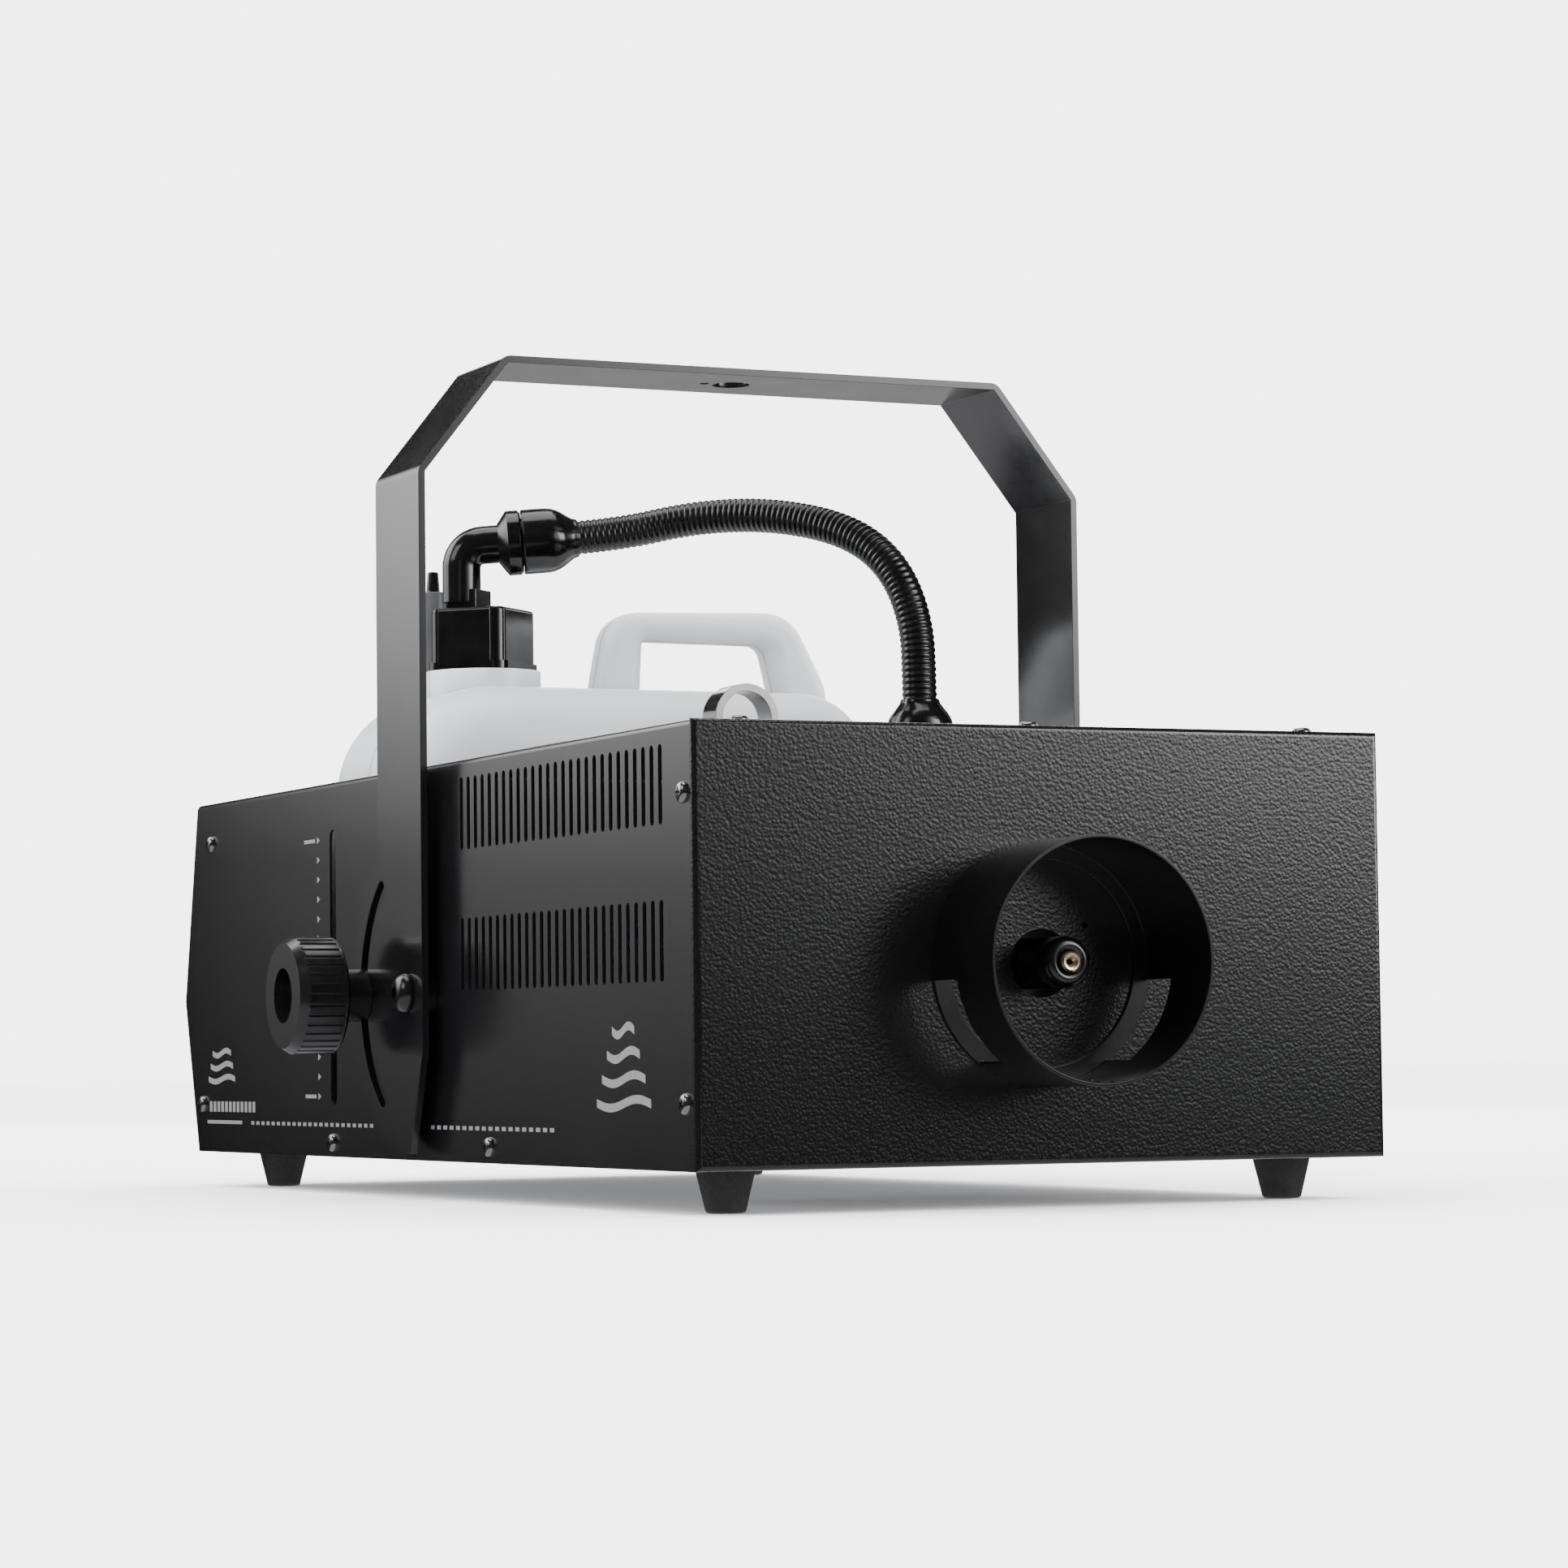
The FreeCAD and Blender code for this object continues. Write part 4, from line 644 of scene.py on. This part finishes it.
def vent_post():
    """The tank's breather: a grey post with a black tip."""
    post = eased("tank_vent", 0.5 * MM)
    tip_low = max(v.co.z for v in post.data.vertices) - VENT_TIP
    post.data.materials.clear()
    post.data.materials.append(MATERIALS["button_plastic"])
    post.data.materials.append(MATERIALS["black_nylon"])
    for face in post.data.polygons:
        if face.center.z > tip_low:
            face.material_index = 1
    return post


# ---- fog outlet ----
DUCT_LOW, DUCT_HIGH = (Vector(corner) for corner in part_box("outlet_duct"))
DUCT_AXIS = (DUCT_LOW + DUCT_HIGH) / 2
DUCT_RADIUS = (DUCT_HIGH.x - DUCT_LOW.x) / 2
NOZZLE_LOW, NOZZLE_HIGH = (Vector(corner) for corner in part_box("nozzle_sleeve"))
TIP_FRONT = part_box("nozzle_tip")[0].y


def jet_sleeve():
    """The black sleeve round the jet: a rounded nose, drawn in to a small mouth."""
    outer = (NOZZLE_HIGH.x - NOZZLE_LOW.x) / 2
    length = NOZZLE_HIGH.y - NOZZLE_LOW.y
    nose, mouth = 3.4 * MM, 4.1 * MM
    profile = [(mouth, length), (mouth, 1.6 * MM), (mouth + 0.5 * MM, 0.5 * MM)]
    for step in range(9):
        angle = math.pi / 2 * step / 8
        profile.append((outer - nose + nose * math.sin(angle), nose - nose * math.cos(angle)))
    profile += [(outer, 0.45 * length), (outer - 0.7 * MM, 0.45 * length + 0.7 * MM),
                (outer - 0.7 * MM, 0.7 * length), (outer, 0.7 * length + 0.7 * MM), (outer, length)]
    bm = bmesh.new()
    turned(bm, profile, Vector((DUCT_AXIS.x, NOZZLE_LOW.y, DUCT_AXIS.z)), Y, 72)
    sleeve = finish_mesh(bm, "jet_sleeve", sharp=50)
    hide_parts("nozzle_sleeve")
    return dress(sleeve, "black_steel")


def jet_tip():
    """The brass jet: a chamfered nose with a turned ring and a fine bore."""
    radius, bore, length = 3.9 * MM, 1.1 * MM, 40 * MM
    profile = [(bore, length), (bore, 1.6 * MM), (bore + 0.8 * MM, 0.9 * MM), (bore + 1.1 * MM, 0.9 * MM),
               (bore + 1.2 * MM, 0.2 * MM), (bore + 1.7 * MM, 0.0), (radius - 0.7 * MM, 0.0),
               (radius, 0.7 * MM), (radius, length)]
    bm = bmesh.new()
    turned(bm, profile, Vector((DUCT_AXIS.x, TIP_FRONT, DUCT_AXIS.z)), Y, 64)
    tip = finish_mesh(bm, "jet_tip", sharp=30)
    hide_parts("nozzle_tip")
    return dress(tip, "brass")


def duct_seam():
    """The lap of the rolled duct: a narrow strip inside its lowest line, held by two spot welds."""
    inside, base = DUCT_RADIUS - 1.25 * MM, 0.1 * MM
    half_turn, steps = 0.085, 8
    bm = bmesh.new()
    rows = []
    for step in range(steps + 1):
        angle = -math.pi / 2 + half_turn * (2 * step / steps - 1)
        rise = 0.25 * MM if step in (0, steps) else 0.9 * MM
        section = ((inside + base, DUCT_LOW.y + 0.6 * MM), (inside - rise, DUCT_LOW.y + 1.2 * MM),
                   (inside - rise, FRONT - 2 * MM), (inside + base, FRONT - 1.4 * MM))
        rows.append([bm.verts.new((DUCT_AXIS.x + r * math.cos(angle), y, DUCT_AXIS.z + r * math.sin(angle)))
                     for r, y in section])
    for low, high in zip(rows, rows[1:]):
        for k in range(4):
            bm.faces.new((low[k], low[(k + 1) % 4], high[(k + 1) % 4], high[k]))
    bm.faces.new(rows[0])
    bm.faces.new(rows[-1])
    weld = [(0, 0.3 * MM), (2.0 * MM, 0.3 * MM), (1.6 * MM, 1.2 * MM), (0.9 * MM, 1.45 * MM), (0, 1.2 * MM)]
    for depth in (12 * MM, 36 * MM):
        turned(bm, weld, Vector((DUCT_AXIS.x, DUCT_LOW.y + depth, DUCT_AXIS.z - inside)), Z, 20)
    return dress(finish_mesh(bm, "duct_seam", sharp=35), "duct_paint")


# ---- tank ----
TANK_HIGH = Vector(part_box("fluid_tank")[1])


def mould_line():
    """The parting line of the blow mould: a fine bead round the tank and its grip in one plane."""
    source = frame["nodes"]["fluid_tank"]
    middle = back(400.0)
    bm = bmesh.new()
    bm.from_mesh(source.data)
    bmesh.ops.remove_doubles(bm, verts=bm.verts, dist=0.004 * MM)
    section = bmesh.ops.bisect_plane(bm, geom=bm.verts[:] + bm.edges[:] + bm.faces[:],
                                     plane_co=(0, middle, 0), plane_no=(0, 1, 0),
                                     clear_inner=True, clear_outer=True)
    edges = [e for e in section["geom_cut"] if isinstance(e, bmesh.types.BMEdge)]
    links = {}
    for edge in edges:
        a, b = edge.verts
        links.setdefault(a, []).append(b)
        links.setdefault(b, []).append(a)
    loops, seen = [], set()
    for first in links:
        if first in seen:
            continue
        loop, at = [], first
        while at is not None and at not in seen:
            seen.add(at)
            loop.append(at.co.copy())
            at = next((v for v in links[at] if v not in seen), None)
        loops.append(loop)
    bm.free()
    made = bmesh.new()
    for loop in loops:
        span = max(p.x for p in loop) - min(p.x for p in loop)
        inner_wall = max(p.z for p in loop) < TANK_HIGH.z - 30 * MM
        if span < 60 * MM or inner_wall:
            continue
        path = [p for p, q in zip(loop, loop[1:]) if (p - q).length > 0.05 * MM]
        tube_along(made, path, lambda distance: 0.35 * MM, 8)
    return dress(finish_mesh(made, "mould_line", sharp=60), "tank_plastic")


# ---- printing on the left side ----
INK_DEPTH = 0.06 * MM
TICK_BACK, TICK_LOW, TICK_PITCH, TICKS = 406.0, 41.8, 8.6, 14


def side_mark(bm, corners):
    """A thin raised patch on the left side from (depth behind the face, height) corners in millimetres."""
    near = [bm.verts.new((-HALF + 0.02 * MM, back(y), z * MM)) for y, z in corners]
    far = [bm.verts.new((-HALF - INK_DEPTH, back(y), z * MM)) for y, z in corners]
    bm.faces.new(near)
    bm.faces.new(far[::-1])
    for i in range(len(corners)):
        j = (i + 1) % len(corners)
        bm.faces.new((near[i], near[j], far[j], far[i]))


def side_bar(bm, y0, y1, z0, z1):
    side_mark(bm, ((y0, z0), (y1, z0), (y1, z1), (y0, z1)))


def side_wave(bm, y0, y1, z, rise, thick):
    """One wave of a wavy stroke, as a strip of short patches."""
    steps, half = 12, thick / 2
    line = [(y0 + (y1 - y0) * i / steps, z + rise * math.sin(2 * math.pi * i / steps))
            for i in range(steps + 1)]
    for (ya, za), (yb, zb) in zip(line, line[1:]):
        side_mark(bm, ((ya, za - half), (yb, zb - half), (yb, zb + half), (ya, za + half)))


DOT_PITCH, DOT_LENGTH = 7.2, 4.2                     # the dotted rule


def side_printing():
    """Level ticks, rules, a row of blocks where wording would be, and two marks of drifting fog."""
    bm = bmesh.new()
    for i in range(TICKS):
        z = TICK_LOW + i * TICK_PITCH
        side_mark(bm, ((TICK_BACK + 1.9, z - 1.5), (TICK_BACK - 1.7, z), (TICK_BACK + 1.9, z + 1.5)))
    side_bar(bm, 514, 565, 28.9, 30.5)
    for start, end in ((338, 510), (135, 274)):
        for i in range(int((end - start) / DOT_PITCH)):
            side_bar(bm, start + DOT_PITCH * i, start + DOT_PITCH * i + DOT_LENGTH, 28.8, 30.4)
    for level in range(3):
        side_wave(bm, 524 + 3 * level, 563 - 3 * level, 49.5 + 6 * level, 1.2, 2.6)
    for level in range(4):
        side_wave(bm, 41 + 5 * level, 92 - 5 * level, 40 + 9 * level, 1.7, 3.2)
    for i in range(12):
        side_bar(bm, 495 + 5.7 * i, 498.8 + 5.7 * i, 34.4, 39.2)
    for z in (TICK_LOW, TICK_LOW + (TICKS - 1) * TICK_PITCH):
        side_bar(bm, TICK_BACK + 4.5, TICK_BACK + 19, z - 0.8, z + 0.8)
    printing = finish_mesh(bm, "side_printing")
    printing.data.materials.append(INK)
    return printing


# ---- rear panel ----
VEE_Z = 86.0 * MM
UPPER_TILT = math.atan2(20.0 * MM, TOP - VEE_Z)
LOWER_TILT = -math.atan2(20.0 * MM, VEE_Z - BOTTOM)
RIDGE_Y = back(598.0)
BUTTON_X, BUTTON_Z, DISPLAY_Z, SOCKET_Z = (-30.0, -10.0, 10.0, 30.0), 110.0, 142.0, 52.0
ROCKER_X, INLET_X, DMX_X = 70.0, 112.0, (-96.0, -56.0)


def on_rear(tilt, x, z, proud=0.0):
    """A frame on the rear panel in millimetres: X to the right seen from behind, Y up, Z out."""
    out = Vector((0, math.cos(tilt), math.sin(tilt)))
    up = Vector((0, -math.sin(tilt), math.cos(tilt)))
    place = Vector((x * MM, RIDGE_Y - math.tan(tilt) * (z * MM - VEE_Z), z * MM)) + out * proud * MM
    turn = Matrix((-X, up, out)).transposed().to_4x4()
    return Matrix.Translation(place) @ turn @ Matrix.Scale(MM, 4)


def patch(bm, place, corners, thick=0.06):
    """A thin flat shape from (x, y) corners in the frame of place."""
    near = [bm.verts.new(place @ Vector((x, y, -0.02))) for x, y in corners]
    far = [bm.verts.new(place @ Vector((x, y, thick))) for x, y in corners]
    bm.faces.new(near[::-1])
    bm.faces.new(far)
    for i in range(len(corners)):
        j = (i + 1) % len(corners)
        bm.faces.new((near[i], near[j], far[j], far[i]))


def strip(bm, place, x0, x1, y0, y1):
    patch(bm, place, ((x0, y0), (x1, y0), (x1, y1), (x0, y1)))


def outline(bm, place, half_width, half_height, line=0.6):
    """A printed rectangle."""
    inner = half_height - line
    for side in (-1, 1):
        y = side * half_height
        strip(bm, place, -half_width, half_width, min(y, y - side * line), max(y, y - side * line))
        x = side * half_width
        strip(bm, place, min(x, x - side * line), max(x, x - side * line), -inner, inner)


def arrow(bm, place, turn):
    """A small triangle, turned by that many quarters."""
    points = []
    for x, y in ((-1.9, -1.5), (1.9, -1.5), (0.0, 1.8)):
        angle = math.pi / 2 * turn
        points.append((x * math.cos(angle) - y * math.sin(angle), x * math.sin(angle) + y * math.cos(angle)))
    patch(bm, place, points)


def rear_printing():
    """Plain symbols: a dash, arrows and a dot by the buttons, and frames round the sockets."""
    bm = bmesh.new()
    for i, x in enumerate(BUTTON_X):
        above = on_rear(UPPER_TILT, x, BUTTON_Z + 9.0)
        if i == 3:
            strip(bm, above, -2.2, 2.2, 0.7, 1.5)
            strip(bm, above, -2.2, 2.2, -0.9, -0.1)
        elif i == 0:
            strip(bm, above, -1.6, 1.6, -1.3, 1.3)
        else:
            arrow(bm, above, 0 if i == 2 else 2)
    outline(bm, on_rear(UPPER_TILT, 0, 127.0), 46, 29)
    outline(bm, on_rear(LOWER_TILT, sum(DMX_X) / 2, SOCKET_Z), 37, 21)
    outline(bm, on_rear(LOWER_TILT, (ROCKER_X + INLET_X) / 2, SOCKET_Z), 45, 22)
    for x, turn in zip(DMX_X, (2, 0)):
        arrow(bm, on_rear(LOWER_TILT, x, SOCKET_Z + 18.0), turn)
    printing = finish_mesh(bm, "rear_printing")
    printing.data.materials.append(INK)
    return printing


def display_figures():
    """What the display shows: a level bar and a row of plain blocks."""
    bm = bmesh.new()
    face = on_rear(UPPER_TILT, 0, DISPLAY_Z, 1.2)
    for i in range(12):
        height = 1.0 + 0.35 * i
        strip(bm, face, -24 + 2.4 * i, -22.4 + 2.4 * i, -5.5, -5.5 + height)
    for i in range(4):
        strip(bm, face, 9 + 4.2 * i, 12 + 4.2 * i, -5.5, -1.5 if i < 3 else -3.5)
    strip(bm, face, -24, 24, 3.6, 4.2)
    strip(bm, face, -24, 6, 5.4, 6.6)
    figures = finish_mesh(bm, "display_figures")
    figures.data.materials.append(lit_glass())
    return figures


dress_cad_nodes()
hose = feed_hose()
hose.data.materials.append(MATERIALS["hose_plastic"])
round_edges()
pan_screws()
pivot_buttons()
vent_post()
jet_sleeve()
jet_tip()
duct_seam()
mould_line()
side_printing()
rear_printing()
display_figures()


# ---- stage ----
# The black finishes show little but what they mirror. So an even white room gives the diffuse light,
# gloss sees a dark room instead, and cards and softboxes stand in that dark room.
AMBIENT = 5.0                                       # brightness of the white room
REFLECTED = 0.03                                    # brightness of the dark flags that gloss sees
FLOOR_GLOSS = 0.9                                   # brightness of the floor that gloss sees from above


def make_floor():
    """A large pale floor, seen as plain white studio paper."""
    floor = sheet("floor", 14.0)
    floor.location.z = -0.2 * MM
    floor.visible_glossy = False
    paper = Finish("paper", (0.95, 0.95, 0.95), 0.9)
    paper.colour_from(paper.noise(0.8, 2), (0.3, (0.945, 0.945, 0.945)), (0.7, (0.955, 0.955, 0.955)))
    floor.data.materials.append(paper.material)


def make_world():
    """An even white room for the light it gives, with dark flags for what gloss reflects."""
    world = bpy.data.worlds.new("studio")
    bpy.context.scene.world = world
    world.use_nodes = True
    tree = world.node_tree
    nodes, links = tree.nodes, tree.links
    room = nodes["Background"]
    room.inputs["Color"].default_value = (1.0, 1.0, 1.0, 1.0)
    room.inputs["Strength"].default_value = AMBIENT
    flags = nodes.new("ShaderNodeBackground")
    flags.inputs["Color"].default_value = (1.0, 1.0, 1.05, 1.0)
    low = nodes.new("ShaderNodeMapRange")
    low.interpolation_type = "SMOOTHSTEP"
    for socket, value in (("From Min", -0.16), ("From Max", -0.34),
                          ("To Min", REFLECTED), ("To Max", FLOOR_GLOSS)):
        low.inputs[socket].default_value = value
    direction = nodes.new("ShaderNodeSeparateXYZ")
    links.new(nodes.new("ShaderNodeTexCoord").outputs["Generated"], direction.inputs[0])
    links.new(direction.outputs["Z"], low.inputs["Value"])
    links.new(low.outputs["Result"], flags.inputs["Strength"])
    path = nodes.new("ShaderNodeLightPath")
    mix = nodes.new("ShaderNodeMixShader")
    links.new(path.outputs["Is Glossy Ray"], mix.inputs[0])
    links.new(room.outputs["Background"], mix.inputs[1])
    links.new(flags.outputs["Background"], mix.inputs[2])
    links.new(mix.outputs["Shader"], nodes["World Output"].inputs["Surface"])


def softbox(name, place, target, size, radiance):
    """A rectangular soft light of even brightness, itself out of the picture."""
    data = bpy.data.lights.new(name, "AREA")
    data.shape = "RECTANGLE"
    data.size, data.size_y = size
    data.energy = radiance * math.pi * size[0] * size[1]
    lamp = bpy.data.objects.new(name, data)
    way = Vector(target) - Vector(place)
    lamp.matrix_world = Matrix.Translation(place) @ way.to_track_quat("-Z", "Y").to_matrix().to_4x4()
    lamp.visible_camera = False
    bpy.context.scene.collection.objects.link(lamp)


def glow_card(name, place, facing, size, across, up):
    """A card seen only in gloss, its brightness the product of two ramps across and up its face.

    across and up are (metres from the card's middle, brightness) pairs in rising order.
    """
    card = sheet(name, size / 2)
    card.matrix_world = Matrix.Translation(place) @ facing.to_track_quat("Z", "Y").to_matrix().to_4x4()
    card.visible_camera = False
    card.visible_diffuse = False
    glow = Finish(name, (0.0, 0.0, 0.0), 1.0)
    axes = glow.node("ShaderNodeSeparateXYZ", {0: glow.coordinates})
    factors = []
    peak = 1.0
    for axis, stops in (("X", across), ("Y", up)):
        top = max(level for _, level in stops)
        place_on_ramp = glow.fit(axes.outputs[axis], -size / 2, size / 2, 0, 1)
        factors.append(glow.ramp(place_on_ramp, [(distance / size + 0.5, (level / top,) * 3)
                                                 for distance, level in stops]))
        peak *= top
    both = glow.node("ShaderNodeVectorMath", {0: factors[0], 1: factors[1]}, operation="MULTIPLY")
    emission = glow.node("ShaderNodeEmission", {"Color": both.outputs["Vector"], "Strength": peak})
    output = next(node for node in glow.tree.nodes if node.type == "OUTPUT_MATERIAL")
    glow.tree.links.new(emission.outputs["Emission"], output.inputs["Surface"])
    card.data.materials.append(glow.material)


make_floor()
make_world()
REAR_ACROSS = ((-0.7, 1.0), (0.44, 1.0), (0.575, 0.45), (0.64, 0.1), (0.69, 0.0))
REAR_UP = ((-0.45, 0.1), (-0.37, 0.3), (-0.28, 0.52), (-0.18, 1.9), (-0.06, 3.7), (0.15, 6.0), (0.7, 6.0))
FRONT_ACROSS = ((-1.1, 1.3), (-0.5, 1.3), (-0.11, 1.0), (0.33, 0.42), (0.49, 0.2), (0.62, 0.1), (1.1, 0.0))
FRONT_UP = ((-1.0, 0.0), (-0.8, 0.1), (-0.735, 0.28), (-0.575, 1.6), (-0.465, 5.2), (-0.3, 9.0), (1.1, 9.0))
glow_card("rear_left_card", (-0.85, 0.6, 0.45), -Y, 1.4, REAR_ACROSS, REAR_UP)
glow_card("front_right_card", (1.0, -1.775, 0.80), Y, 2.2, FRONT_ACROSS, FRONT_UP)
softbox("rear_softbox", (0.9, 2.3, 1.0), (0, 0.3, 0.2), (1.2, 1.2), 4.0)
softbox("right_softbox", (2.4, 0.5, 1.2), (0, 0, 0.2), (1.2, 1.2), 3.0)
softbox("left_softbox", (-2.4, -0.3, 1.6), (0, 0, 0.2), (1.2, 1.2), 3.5)
softbox("overhead_softbox", (0.0, 0.3, 2.0), (0, 0.2, 0), (1.4, 1.4), 4.0)
softbox("low_rear_softbox", (0.93, 2.0, 0.02), (0.93, 2.0, 1.0), (1.4, 1.4), 0.6)
